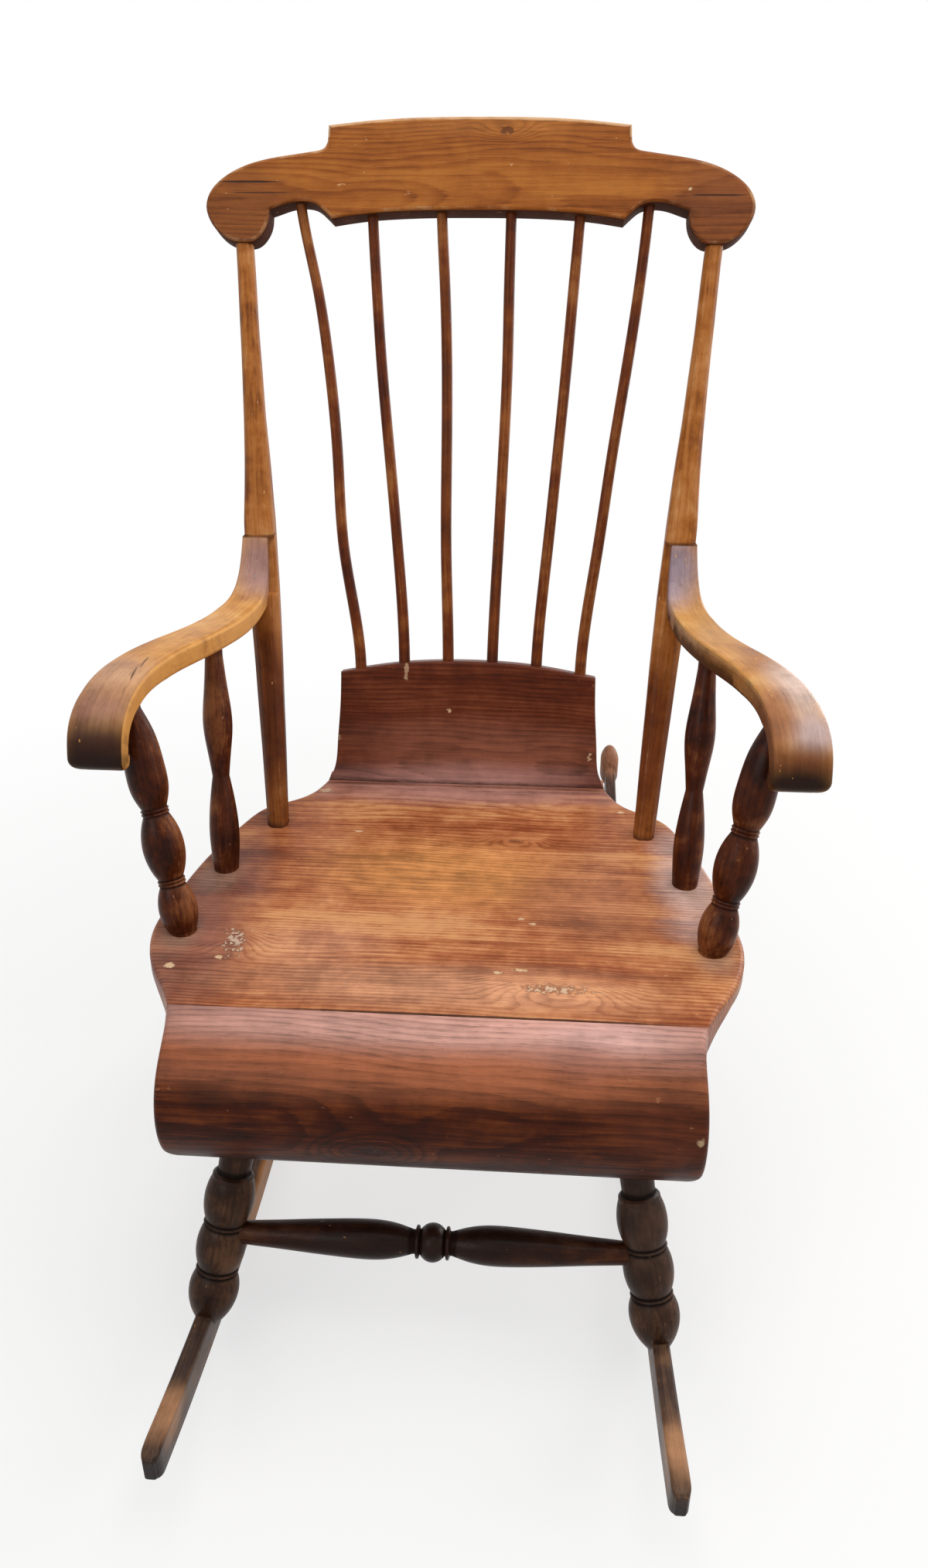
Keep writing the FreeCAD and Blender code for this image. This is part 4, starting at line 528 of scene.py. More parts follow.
# Each finish: its name, the colours dark, middle, light, bare wood and dirt (the last two also paint
# highlights and shade), then how strongly each feature shows
finishes = {
    "crest_wood": old_varnish(
        "golden_crest", (0.19, 0.05, 0.009), (0.35, 0.103, 0.017), (0.47, 0.165, 0.03),
        # The bare-wood colour also paints the top edge's highlight, and the dirt colour the lower edge's
        # shade
        (0.7, 0.42, 0.22), (0.045, 0.012, 0.005),
        ring_width=4.2, figure=0.17, streak=0.45, patches=0.4, broad=0.75, wear_and_highlight_start=0.7,
        knots=[((30.8, 265.4, 1053), (34, 30, 13), 13)],
        tints=[((-262, 250, 975), (70, 60, 62), (0.2, 0.062, 0.018), 0.75),
               ((262, 250, 985), (70, 60, 70), (0.2, 0.06, 0.022), 0.75),
               # A lighter band along the top edge: a painted highlight
               ((0, 262, 1062), (170, 40, 16), (0.42, 0.15, 0.035), 0.7)],
        marks=[((30.8, 265.4, 1053), (8, 9, 4), (0.1, 0.03, 0.012), 0.75),
               ((229, 245, 996.4), (2.2, 3, 1.8), CREAM, 0.9)],
        cracks=[((-252, 247, 1003), (38, 6, 1.2), SPLIT, 0.85),
                ((-240, 243, 992), (34, 6, 0.9), SPLIT, 0.7),
                ((262, 243, 990.5), (34, 6, 1.1), SPLIT, 0.85)],
    ),
    "post_wood": old_varnish(
        "golden_posts", (0.13, 0.03, 0.006), (0.38, 0.125, 0.022), (0.52, 0.22, 0.065),
        (0.6, 0.32, 0.15), (0.045, 0.012, 0.005),
        ring_width=5, figure=0.06, streak=0.45, patches=1.0, mottle=0.6,
        tints=[((-208, 0, 490), (40, 90, 190), (0.11, 0.024, 0.005), 0.92),
               ((208, 0, 440), (40, 80, 150), (0.14, 0.03, 0.005), 0.9)],
    ),
    "back_spindle_wood": old_varnish(
        "red_spindles", (0.06, 0.01, 0.0025), (0.16, 0.034, 0.005), (0.34, 0.12, 0.03),
        (0.42, 0.18, 0.07), (0.035, 0.009, 0.004),
        ring_width=3.5, figure=0.05, patches=1.0, mottle=0.5, wear_and_highlight_start=0.4,
        tints=[((0, 180, 720), (62, 200, 260), (0.21, 0.055, 0.01), 0.7)],
        marks=[((-105.5, 201, 877), (3, 8, 15), (0.45, 0.2, 0.08), 0.8),
               ((189.7, 225, 942.5), (3, 6, 5), CREAM, 0.8)],
    ),
    "arm_wood": old_varnish(
        "ochre_arms", (0.3, 0.1, 0.02), (0.62, 0.28, 0.07), (0.82, 0.5, 0.2),
        (0.78, 0.38, 0.1), (0.06, 0.02, 0.008),
        ring_width=4, figure=0.03, streak=0.25, patches=0.7, broad=0.2, mottle=0.5,
        tint_edge=0.45, wear_and_highlight_start=0.55, tints=[
            # Mauve sheen round both arm joints: painted reflections
            ((-222, 66, 624), (44, 50, 52), (0.34, 0.19, 0.17), 0.95),
            ((222, 66, 622), (44, 52, 58), (0.37, 0.29, 0.35), 0.95),
            # Down the left arm's rolled front, lighter at the top, then brown, then dark below: painted
            # light and shade
            ((-300, -206, 604), (46, 50, 24), (0.56, 0.33, 0.22), 0.8),
            ((-304, -246, 586), (46, 34, 24), (0.34, 0.17, 0.12), 0.9),
            ((-300, -266, 556), (60, 40, 27), (0.045, 0.013, 0.007), 0.98),
            ((262, -10, 606), (46, 110, 34), (0.42, 0.2, 0.055), 0.85),
            ((284, -130, 600), (26, 70, 30), (0.36, 0.15, 0.055), 0.85),
            # Pale sheen on the right arm's top and front: painted reflections
            ((312, -190, 602), (36, 70, 30), (0.68, 0.5, 0.42), 0.97),
            ((316, -250, 582), (36, 30, 22), (0.5, 0.37, 0.36), 0.9),
            ((282, -226, 580), (22, 60, 44), (0.32, 0.12, 0.05), 0.92),
            # Darker brown low on the right arm's front, and the dark band under both fronts: painted shade
            ((302, -270, 558), (60, 30, 20), (0.17, 0.05, 0.02), 0.95),
        ] + [((s * 300, -266, 540), (60, 40, 18), (0.016, 0.005, 0.003), 0.99) for s in (-1, 1)],
        cracks=[((-285, -232, 597), (1.6, 15, 8), SPLIT, 0.7),
                ((-283, -206, 602), (1.4, 16, 6), SPLIT, 0.75),
                ((-280, -178, 603), (1.2, 14, 5), SPLIT, 0.6)],
    ),
    "turned_wood": old_varnish(
        "dark_turnings", (0.022, 0.004, 0.0012), (0.085, 0.018, 0.0045), (0.26, 0.09, 0.03),
        (0.44, 0.21, 0.09), (0.01, 0.003, 0.0015),
        ring_width=4, figure=0.04, streak=0.35, patches=1.1, mottle=0.7, wear_and_highlight_start=0.5,
        gloss=(0.26, 0.45), shine=0.09,
        tints=[((0, 0, 123), (260, 2000, 90), (0.02, 0.0075, 0.0045), 0.97)],
    ),
    "seat_wood": old_varnish(
        "red_pine_seat", (0.23, 0.054, 0.018), (0.44, 0.145, 0.054), (0.66, 0.31, 0.13),
        (0.6, 0.3, 0.14), (0.09, 0.028, 0.013),
        ring_width=4.6, figure=0.17, streak=0.5, patches=0.6, broad=0.9, mottle=0.6,
        wear_and_highlight_start=0.8, pore=0.4,
        knots=[((104, -316, SEAT), (70, 30, 30), 34), ((63, -58, SEAT), (36, 16, 30), 18),
               ((-198, -262, SEAT), (34, 30, 30), 20)],
        tints=[((-10, -130, SEAT), (150, 75, 60), (0.64, 0.27, 0.085), 0.8),
               ((-236, -220, SEAT), (66, 190, 60), (0.23, 0.085, 0.06), 0.9),
               ((140, -170, SEAT), (80, 90, 60), (0.4, 0.15, 0.07), 0.7),
               ((-120, -262, SEAT), (80, 50, 60), (0.6, 0.31, 0.19), 0.4),
               ((20, -320, SEAT), (220, 38, 60), (0.62, 0.3, 0.17), 0.75),
               # Lilac sheen along the rear board's foot and along the right edge: painted reflections
               ((0, 50, SEAT), (250, 40, 50), (0.4, 0.2, 0.17), 0.9),
               ((240, -130, SEAT), (40, 125, 50), (0.62, 0.42, 0.37), 0.9)]
        + [((x, y, SEAT), (a, b, 40), DUST, s) for x, y, a, b, s in (
            (-240, -150, 26, 36, 0.6), (246, -156, 20, 26, 0.5), (-250, -256, 24, 36, 0.55),
            (252, -256, 24, 36, 0.55),
        )],
        marks=[((x, y, SEAT), (a, b, 4), c, s) for x, y, a, b, c, s in (
            (-111, -49, 5, 2.4, CREAM, 0.95), (182, 15, 4, 2.6, CREAM, 0.95),
            (72, -290, 6, 2.6, CREAM, 0.9), (52, -295, 4, 2.4, CREAM, 0.9),
            (-246, -304, 5, 4, CREAM, 0.9), (-204, -289, 4, 3, CREAM, 0.85),
            (71, -208, 4, 2, CREAM, 0.8), (83, -216, 4, 2, CREAM, 0.8),
            (-163, 45, 8, 5, (0.6, 0.42, 0.28), 0.7), (63, -58, 8, 4, (0.13, 0.04, 0.015), 0.7),
            (104, -316, 30, 8, (0.2, 0.07, 0.035), 0.6),
            (-196, -265, 10, 24, (0.16, 0.06, 0.04), 0.6),
        )],
        flakes=[((106, -316, SEAT), (22, 6, 4), (0.7, 0.5, 0.33), 0.9),
                ((-196, -262, SEAT), (10, 16, 4), (0.62, 0.46, 0.34), 0.85)],
        cracks=[((35, -357.3, SEAT), (205, 1.3, 3), SPLIT, 0.85)],
    ),
    "riser_wood": old_varnish(
        "dark_pine_riser", (0.06, 0.011, 0.004), (0.12, 0.024, 0.0075), (0.22, 0.06, 0.024),
        (0.3, 0.12, 0.06), (0.03, 0.008, 0.004),
        ring_width=4.5, figure=0.16, streak=0.55, patches=0.6, mottle=0.45, wear_and_highlight_start=0.75,
        # The lighter lower part of the rear board and the lilac sheen at its foot: a painted sheen
        tints=[((0, 84, 396), (210, 60, 46), (0.27, 0.095, 0.055), 0.85),
               ((0, 74, 361), (210, 40, 24), (0.42, 0.22, 0.19), 0.9)],
        marks=[((-21, 91.6, 443.6), (4, 5, 3), CREAM, 0.9), ((-72, 102, 488), (3, 6, 10), CREAM, 0.6),
               ((-152, 83, 407), (3, 5, 5), CREAM, 0.8), ((146, 80, 394), (3, 5, 6), CREAM, 0.8)],
    ),
    "roll_wood": old_varnish(
        "pine_roll", (0.02, 0.004, 0.0015), (0.066, 0.012, 0.0035), (0.19, 0.046, 0.012),
        (0.38, 0.16, 0.07), (0.025, 0.007, 0.004),
        ring_width=4.5, figure=0.15, streak=0.5, patches=0.5, mottle=0.4, wear_and_highlight_start=0.8,
        pore=0.35, gloss=(0.26, 0.45), shine=0.08, knots=[((-49, -429.7, 268), (52, 30, 22), 20)],
        # A lighter band along the roll's up-facing top, with a lilac sheen: painted light and a painted
        # reflection
        tints=[((0, -402, 338), (330, 30, 34), (0.4, 0.13, 0.06), 0.92),
               ((60, -368, 356), (370, 38, 23), (0.6, 0.32, 0.26), 0.97),
               ((150, -372, 356), (70, 22, 14), (0.6, 0.35, 0.31), 0.8),
               ((125, -394, 346), (36, 22, 18), (0.26, 0.1, 0.07), 0.5),
               ((195, -425, 300), (60, 40, 30), (0.17, 0.045, 0.02), 0.6),
               ((0, -424, 246), (330, 30, 14), (0.052, 0.022, 0.017), 0.8)],
        marks=[((-49, -429.7, 270), (10, 8, 5), (0.03, 0.011, 0.008), 0.8),
               ((223, -429, 298), (4, 8, 4), CREAM, 0.7)],
    ),
    "leg_wood": old_varnish(
        "dark_legs", (0.01, 0.0042, 0.0026), (0.043, 0.019, 0.0105), (0.145, 0.068, 0.036),
        (0.22, 0.12, 0.07), (0.005, 0.0025, 0.0018),
        ring_width=4, figure=0.02, streak=0.3, patches=0.9, mottle=0.7, wear_and_highlight_start=0.55,
        gloss=(0.3, 0.5), shine=0.08, tints=[((190, -420, 200), (50, 60, 130), (0.075, 0.04, 0.027), 0.75)],
    ),
    "rocker_wood": old_varnish(
        "worn_rockers", (0.025, 0.012, 0.009), (0.062, 0.034, 0.025), (0.18, 0.095, 0.05),
        (0.32, 0.15, 0.06), (0.02, 0.01, 0.007),
        ring_width=5, figure=0.05, streak=0.45, patches=1.0, mottle=0.5, wear_and_highlight_start=0.5,
        tints=[((s * ROCKER_X, -540, 84), (24, 34, 26), (0.4, 0.2, 0.1), 0.95) for s in (-1, 1)]
        + [((s * ROCKER_X, -586, 64), (24, 20, 36), CHAR, 0.98) for s in (-1, 1)]
        + [((s * ROCKER_X, 562, 160), (34, 44, 44), (0.34, 0.14, 0.075), 0.97) for s in (-1, 1)]
        + [((-198, -250, 25), (8, 130, 40), (0.5, 0.21, 0.06), 0.85)],
    ),
    "pin_wood": old_varnish(
        "grey_pins", (0.2, 0.13, 0.12), (0.34, 0.24, 0.23), (0.42, 0.3, 0.28),
        (0.4, 0.28, 0.24), (0.03, 0.012, 0.007),
    ),
}


# Leaning frames
def leaning(origin, angle):
    """Carries (x, depth, height) of a board that leans back by an angle to the chair's frame."""
    c, s = math.cos(math.radians(angle)), math.sin(math.radians(angle))

    def carry(x, depth, height):
        """Depth runs back and down by the angle, height up and back by it."""
        return np.stack([x, origin[1] + depth * c + height * s, origin[2] - depth * s + height * c], -1)
    return carry


def mirrored_line(shares, width, height, side):
    """Points given as shares of a width and a height, on the right for side 1 and on the left for -1."""
    return np.array([(width * a * side, height * b) for a, b in shares])


# Crest rail
CREST_W, CREST_H, CREST_T = 300.0, 107.0, 28.0
CREST_Y, CREST_Z, CREST_LEAN = 234.0, 967.0, 20.1
crest_at = leaning((0, CREST_Y, CREST_Z), CREST_LEAN)
# Each line of the crest's outline, right half, as shares of its half width and height
crest_under = ((0.0, 0.091), (0.173, 0.087), (0.305, 0.073), (0.422, 0.046), (0.533, 0.0))
crest_arch = (
    (0.533, 0.0), (0.563, 0.080), (0.594, 0.146), (0.637, 0.172), (0.697, 0.152), (0.737, 0.114),
    (0.763, 0.090),
)
crest_ear = (
    (0.763, 0.090), (0.766, -0.015), (0.785, -0.136), (0.820, -0.222), (0.860, -0.236), (0.906, -0.218),
    (0.958, -0.120), (0.987, -0.008), (1.000, 0.120), (0.983, 0.278), (0.941, 0.400), (0.873, 0.509),
    (0.800, 0.576), (0.663, 0.642), (0.588, 0.673),
)
crest_step = ((0.588, 0.673), (0.562, 0.704), (0.551, 0.765))
crest_top = ((0.548, 0.920), (0.373, 0.970), (0.190, 0.995), (0.0, 1.0))


def crest_rail():
    """The outline of the crest carried through its thickness, with a slightly uneven face.

    Its arrises are rubbed. Where the top edge faces up it carries a painted highlight,
    and where the lower edge faces down it carries painted shade.
    """
    def at(shares, side=1):
        """A part of the outline in millimetres on one side."""
        return mirrored_line(shares, CREST_W, CREST_H, side)

    def flank(side):
        """The lines of one side from the underside up to the top: arch, ear, step and its upright."""
        curves = [smooth_line(at(part, side)) for part in (crest_arch, crest_ear, crest_step)]
        return curves + [straight(at(crest_step, side)[-1], at(crest_top, side)[0])]

    under = smooth_line(np.concatenate([at(crest_under[::-1], -1), at(crest_under[1:])]))
    top = smooth_line(np.concatenate([at(crest_top), at(crest_top[-2::-1], -1)]))
    right, left = flank(1), flank(-1)
    outline = chain(under, *right, top, *[p[::-1] for p in left[::-1]])[:-1]
    low = chain(left[0][::-1], under, right[0])
    ear = smooth_line(at(crest_ear))
    split = int(np.argmax(ear[:, 0]))
    mirror = np.array([-1, 1])
    lower = np.concatenate([low, ear[:split], ear[:split] * mirror])
    upper = np.concatenate([top, ear[split:], ear[split:] * mirror])
    middle = middle_line(outline, upper, lower, CREST_W - 9)
    flats, depths, rims = board_grid(outline, middle, CREST_T, 3.6, 3.0, face_rows=16)
    x, z = flats[..., 0], flats[..., 1]
    depths = depths + 0.35 * ripple(x / 34, z / 17 + x / 80, x / 13) * (depths < 1)
    grid = crest_at(x, depths, z)
    out = outline - middle
    facing_up = out[:, 1] / np.linalg.norm(out, axis=1)
    # Painted highlight on the top edge where it faces up
    lit_top_edge = np.clip(facing_up * 3 - 1.5, 0, 1) * (rims > 0.99) * (z > 0.8 * CREST_H)
    wear_and_highlight = np.maximum(np.clip((rims - 0.93) / 0.07, 0, 1) * 0.75, lit_top_edge * 1.2)
    # Painted shade on the lower edge where it faces down
    shaded_under_rim = np.clip(-facing_up * 1.6, 0, 1) * (rims > 0.99) * (depths > 2.2)
    piece = piece_from_grid("crest_board", grid, np.stack([z, depths, x], -1), "crest_wood",
                            wear_and_highlight * (1 - shaded_under_rim), shaded_under_rim * 0.9, heart=(28, -62))
    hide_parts("crest_rail")


# Rear board of the seat
RISER_Y, RISER_LEAN, RISER_T = 71.0, 13.4, 24.0
RISER_FOOT, RISER_TOP, RISER_H, RISER_CROWN = 165.0, 149.5, 132.0, 16.0
riser_side = ((0.60, 0.10), (0.32, 0.34), (0.10, 0.68), (0.0, 1.0))
riser_at = leaning((0, RISER_Y, SEAT), RISER_LEAN)


def rear_board():
    """The upturned rear board: its outline carried through its thickness.

    Its front face is hollowed by one less the square of the height from the
    middle of the hollow.
    """
    foot, top_w, high, sunk = RISER_FOOT, RISER_TOP, RISER_H, -4.0
    side = [(foot, 0)] + [(top_w + (foot - top_w) * a, high * b) for a, b in riser_side]
    right = smooth_line(side)
    left = (right * [-1, 1])[::-1]
    crown = high + RISER_CROWN
    far, near_top = top_w * 0.55, high + RISER_CROWN * 0.72
    top = smooth_line([(top_w, high), (far, near_top), (0, crown), (-far, near_top), (-top_w, high)])
    bottom = straight((-foot, sunk), (foot, sunk))
    right_end, left_end = straight((foot, sunk), (foot, 0)), straight((-foot, 0), (-foot, sunk))
    outline = chain(bottom, right_end, right, top, left, left_end)[:-1]
    middle = middle_line(outline, np.concatenate([top, right, left]), bottom, top_w - 14)
    edge = np.where(outline[:, 1] < 1, 0.5, 3.2)
    flats, depths, rims = board_grid(outline, middle, RISER_T, edge, edge, face_rows=14)
    x, z = flats[..., 0], flats[..., 1]
    hollow = 3.5 * np.clip(1 - ((z - 60) / 75) ** 2, 0, 1) * np.clip(1 - depths / (RISER_T / 2), 0, 1)
    uneven = 0.3 * ripple(x / 41, z / 19 + x / 70) * (depths < 1)
    grid = riser_at(x, depths + hollow + uneven, z)
    wear_and_highlight = np.clip((rims - 0.93) / 0.07, 0, 1) * 0.6 * (z > 20)
    # Darker towards the foot: a dark joint line, with painted shade in the crease against the plank
    grime_and_shade = np.clip(1 - z / 9, 0, 1) * 0.85
    grain = np.stack([z, depths, x], -1)
    piece = piece_from_grid("riser_board", grid, grain, "riser_wood", wear_and_highlight, grime_and_shade, heart=(22, -60))
    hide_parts("seat_rear_riser")


# Seat plank
PLANK_W, PLANK_FRONT, PLANK_DEPTH, PLANK_T = 280.0, -358.0, 429.0, 34.0
ROLL_W, ROLL_R, ROLL_CUT = 232.0, 73.0, 44.0
# The side as shares of the half width and depth, the cove as shares from the rear board's foot to the side
plank_side = (
    (0.872, 0.055), (0.936, 0.125), (0.984, 0.206), (1.000, 0.278), (0.989, 0.372), (0.957, 0.524),
    (0.907, 0.665), (0.850, 0.780),
)
plank_cove = ((0.865, 0.826), (0.637, 0.862), (0.348, 0.898), (0.133, 0.948))


def seat_plank():
    """The plank: its outline carried down through its thickness, rounded on top and bevelled below.

    Both the rounding and the bevel die out towards the front and rear edges.
    """
    side = [(ROLL_W, PLANK_FRONT)] + [(PLANK_W * a, PLANK_FRONT + PLANK_DEPTH * b) for a, b in plank_side]
    ear, foot = side[-1], RISER_FOOT
    cove = [(mix(foot, ear[0], a), PLANK_FRONT + PLANK_DEPTH * b) for a, b in plank_cove]
    cove = [ear] + cove + [(foot, RISER_Y)]
    rear = RISER_Y + RISER_T / math.cos(math.radians(RISER_LEAN))
    right = chain(smooth_line(side), smooth_line(cove), straight((foot, RISER_Y), (foot, rear)))
    left = (right * [-1, 1])[::-1]
    front = straight((-ROLL_W, PLANK_FRONT), (ROLL_W, PLANK_FRONT))
    back = straight((foot, rear), (-foot, rear))
    outline = chain(front, right, back, left)[:-1]
    widest = int(np.argmax(right[:, 0]))
    mirror = np.array([-1, 1])
    lower = np.concatenate([front, right[:widest], right[:widest] * mirror])
    upper = np.concatenate([back, right[widest:], right[widest:] * mirror])
    middle = middle_line(outline, upper, lower, PLANK_W - 24)
    from_ends = np.minimum(outline[:, 1] - PLANK_FRONT, RISER_Y - 0.5 - outline[:, 1])
    round_top = mix(0.9, 4.6, np.clip(from_ends / 26, 0, 1))
    bevel = mix(1.0, 18.0, np.clip(from_ends / 50, 0, 1))
    flats, depths, rims = board_grid(outline, middle, PLANK_T, round_top, bevel, True, face_rows=22)
    x, y = flats[..., 0], flats[..., 1]
    uneven = 0.3 * ripple(x / 47, y / 29 + x / 90, y / 61) * (depths < 1)
    grid = np.stack([x, y, SEAT - depths - np.abs(uneven) * 0.6], -1)
    wear_and_highlight = np.clip((rims - 0.95) / 0.05, 0, 1) * 0.5 * (depths < 14)
    # A dark line along the rear board's foot with painted shade in the crease there; the bevelled underside
    # is painted darker as shade
    along_riser = np.clip(1 - np.abs(y - (RISER_Y - 3)) / 9, 0, 1) * (np.abs(x) < foot + 1)
    grime_and_shade = along_riser * 0.9 + np.clip(depths - 12, 0, 8) / 8 * 0.45
    grain = np.stack([y, depths, x], -1)
    piece = piece_from_grid("seat_board", grid, grain, "seat_wood", wear_and_highlight, grime_and_shade, heart=(35, -75))
    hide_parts("seat_plank")


# Rolled front
ROLL_CORE = np.array([-392.0, 300.0])
# The roll's half width at each distance out from the plank's front, both as shares
roll_ends = ((1.0, 0.0), (0.983, 0.30), (0.981, 0.62), (0.987, 0.95), (0.988, 1.15))


def roll_profile():
    """The roll in side view: an arc down from the seat's top, a flat foot and the joint with the plank.

    Returns its points, evenly spaced with the corners a little eased, and the
    foot's height.
    """
    centre_z = SEAT - ROLL_R
    low = centre_z - ROLL_CUT
    angle = np.linspace(math.pi / 2, -math.asin(ROLL_CUT / ROLL_R), 60)
    curve = np.stack([PLANK_FRONT - ROLL_R * np.cos(angle), centre_z + ROLL_R * np.sin(angle)], 1)
    foot_back, back = (curve[-1, 0] + 31, low), (PLANK_FRONT, low + 55)
    foot, slope, joint = straight(curve[-1], foot_back), straight(foot_back, back), straight(back, curve[0])
    profile = chain(curve, foot, slope, joint)[:-1]
    steps = lengths_along(profile)
    profile = places_on(profile, steps, np.linspace(0, steps[-1], 190))
    ring = np.concatenate([profile[-2:], profile, profile[:2]])
    return (ring[1:-3] + 2 * ring[2:-2] + ring[3:-1]) / 4, low


def front_roll():
    """The rolled front: its side profile carried across the seat, each place out to the half width there.

    At the ends the profile is drawn in by r(1 - cos a) while it runs out by
    r sin a, and then closes on its centre.
    """
    profile, low = roll_profile()
    ends = smooth_line(roll_ends, 0.02)
    out = np.clip((PLANK_FRONT - profile[:, 0]) / ROLL_R, 0, 1.1)
    half = ROLL_W * np.interp(out, ends[:, 1], ends[:, 0])
    tuck = np.clip(low + 12 - profile[:, 1], 0, 12) / 12
    half = half - 12 * (1 - np.sqrt(np.clip(1 - tuck ** 2, 0, 1)))
    arm = ROLL_CORE - profile
    arm /= np.linalg.norm(arm, axis=1)[:, None]
    r = np.where(profile[:, 0] > PLANK_FRONT - 3, 1.0, 5.0)
    shares = (0.0, 0.25, 0.55, 0.8, 0.95)
    loops = []
    for side in (-1, 1):
        flank = []
        for share in shares:
            flat = mix(ROLL_CORE, profile + arm * r[:, None], share)
            flank.append(np.stack([side * half, flat[:, 0], flat[:, 1]], 1))
        centre_x = flank[-1][:, 0].mean()
        for loop, share in zip(flank, shares):
            loop[:, 0] = mix(centre_x, loop[:, 0], share)
        for a in np.linspace(math.pi / 2, 0, 7):
            flat = profile + arm * (r * (1 - math.cos(a)))[:, None]
            flank.append(np.stack([side * (half - r + r * math.sin(a)), flat[:, 0], flat[:, 1]], 1))
        loops.append(flank)
    across = []
    for u in np.linspace(-1, 1, 120)[1:-1]:
        across.append(np.stack([u * (half - r), profile[:, 0], profile[:, 1]], 1))
    grid = np.array(loops[0] + across + loops[1][::-1])
    x, y, z = grid[..., 0], grid[..., 1], grid[..., 2]
    uneven = 0.35 * ripple(x / 44, x / 90 + z / 21, z / 13) * (np.abs(x) < 220) * (y < PLANK_FRONT - 8)
    grid = np.stack([x, y + np.abs(uneven) * 0.5, z], -1)
    around = np.broadcast_to(np.arange(x.shape[1]) * 1.4, x.shape)
    rim = np.zeros(x.shape)
    rim[9:13] = rim[-13:-9] = 0.55
    wear_and_highlight = rim + 0.35 * np.clip(1 - np.abs(z - low - 4) / 6, 0, 1)
    grain = np.stack([around, np.zeros(x.shape), x], -1)
    piece = piece_from_grid("roll_board", grid, grain, "roll_wood", wear_and_highlight, heart=(95, -55))
    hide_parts("seat_front_roll")


# Back posts
POST_TOP_X, POST_TENON = 260.0, 13.0
post_foot = np.array([202.8, -36.0, SEAT])
ear_low = -0.236 * CREST_H
post_top = crest_at(np.array(POST_TOP_X), np.array(CREST_T / 2), np.array(ear_low + POST_TENON))
post_axis = post_top - post_foot
post_length = float(np.linalg.norm(post_axis))
post_axis = post_axis / post_length
post_side = np.array([1.0, 0, 0]) - post_axis * post_axis[0]
post_side /= np.linalg.norm(post_side)
post_back = np.cross(post_axis, post_side)
POST_W, POST_D = 33.0, 26.6
REST, RISE, DROP = SEAT + 245.0, 47.0, 61.0
JOINT = REST + RISE
arm_station = (JOINT - SEAT) / post_axis[2]


def post_at(z):
    """The place on the post's middle line at a height."""
    return post_foot + post_axis * ((z - SEAT) / post_axis[2])


def eight_sided(count=72):
    """A closed eight-sided outline of half width and half depth one, its corners a little rubbed."""
    flat, cut = 0.55, 0.45
    corners = np.array([
        (-flat, -1), (flat, -1), (1, -cut), (1, cut), (flat, 1), (-flat, 1), (-1, cut), (-1, -cut),
    ])
    ring = np.concatenate([corners, corners[:1]])
    steps = lengths_along(ring)
    line = places_on(ring, steps, np.linspace(0, steps[-1], count, endpoint=False))
    for _ in range(2):
        line = (np.roll(line, 1, 0) + 2 * line + np.roll(line, -1, 0)) / 4
    return line * 1.01


def back_post(label, side):
    """An eight-sided section carried up the post.

    A point is the middle line's place plus u to the side plus v to the back,
    each the section's share times half the width or depth there. Round the
    joint the section grows boxy, and its front is let in where the arm lies.
    """
    low_end, high_end = -8, post_length + 4
    stations = np.array([
        (low_end, 21.6, 21.6), (arm_station - 62, POST_W, POST_D), (arm_station + 16, POST_W, POST_D),
        (arm_station + 127, 23.4, 22.0), (arm_station + 216, 19.9, 20.0), (high_end, 18.4, 18.4),
    ])
    notch = arm_station + 0.15, arm_station - 64
    edges = [notch[0] - 0.2, notch[0] + 0.1, notch[1] - 0.2, notch[1] + 0.2]
    way = np.unique(np.concatenate([np.linspace(low_end, high_end, 170), edges]))
    even = np.linspace(low_end, high_end, 300)
    width = np.interp(way, even, eased(np.interp(even, stations[:, 0], stations[:, 1]), 3))
    depth = np.interp(way, even, eased(np.interp(even, stations[:, 0], stations[:, 2]), 3))
    ring = eight_sided()
    boxy = ring / np.maximum(np.abs(ring).max(1), 0.86 * np.abs(ring).sum(1) / 1.5)[:, None]
    flat = np.exp(-((way - arm_station) / 60) ** 2)[:, None, None] * 0.8
    ring_here = mix(ring, np.clip(boxy, -1, 1), flat)
    u = ring_here[..., 0] * width[:, None] / 2 + 1.6 * flat[..., 0]
    v = ring_here[..., 1] * depth[:, None] / 2
    let_in = (way < notch[0]) & (way > notch[1])
    v = np.where(let_in[:, None], np.maximum(v, -depth[:, None] / 2 + 8.6), v)
    u = u + 0.2 * ripple(way / 17, way / 41)[:, None]
    centres = post_foot + post_axis * way[:, None]
    loops = centres[:, None] + post_side * u[..., None] + post_back * v[..., None]
    level = (post_side[2] * u + post_back[2] * v) / post_axis[2]
    loops = loops - post_axis * level[..., None]
    grid = closed_ends(loops, 0.5, 0.5)
    grain = closed_ends(np.stack([u, v, np.broadcast_to(way[:, None], u.shape)], -1), 0.5, 0.5)
    grid = grid * [side, 1, 1]
    corner = np.linalg.norm(ring - np.roll(ring, 3, 0) * 0.5 - np.roll(ring, -3, 0) * 0.5, axis=1)
    wear_and_highlight = np.broadcast_to(corner / corner.max() * 0.5, grid.shape[:2])
    low = np.clip(1 - (grain[..., 2] / 14), 0, 1) * 0.8
    joint = np.clip(1 - np.abs(grain[..., 2] - arm_station - 1) / 2.5, 0, 1) * (grain[..., 1] < 0) * 0.9
    piece = piece_from_grid("post_" + label, grid, grain, "post_wood", wear_and_highlight, np.maximum(low, joint))
    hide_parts("back_post_" + label)


# Arms
arm_joint_y = post_at(JOINT)[1] - POST_D / 2 / post_back[1]
ARM_FRONT_Y = PLANK_FRONT + 95.0
arm_run = ARM_FRONT_Y - arm_joint_y
arm_inner = post_at(JOINT)[0] - 11.9
ARM_FLARE, ARM_JOINT_W, ARM_FRONT_W, ARM_T, BEAD = 61.0, 27.0, 50.0, 21.0, 18.0
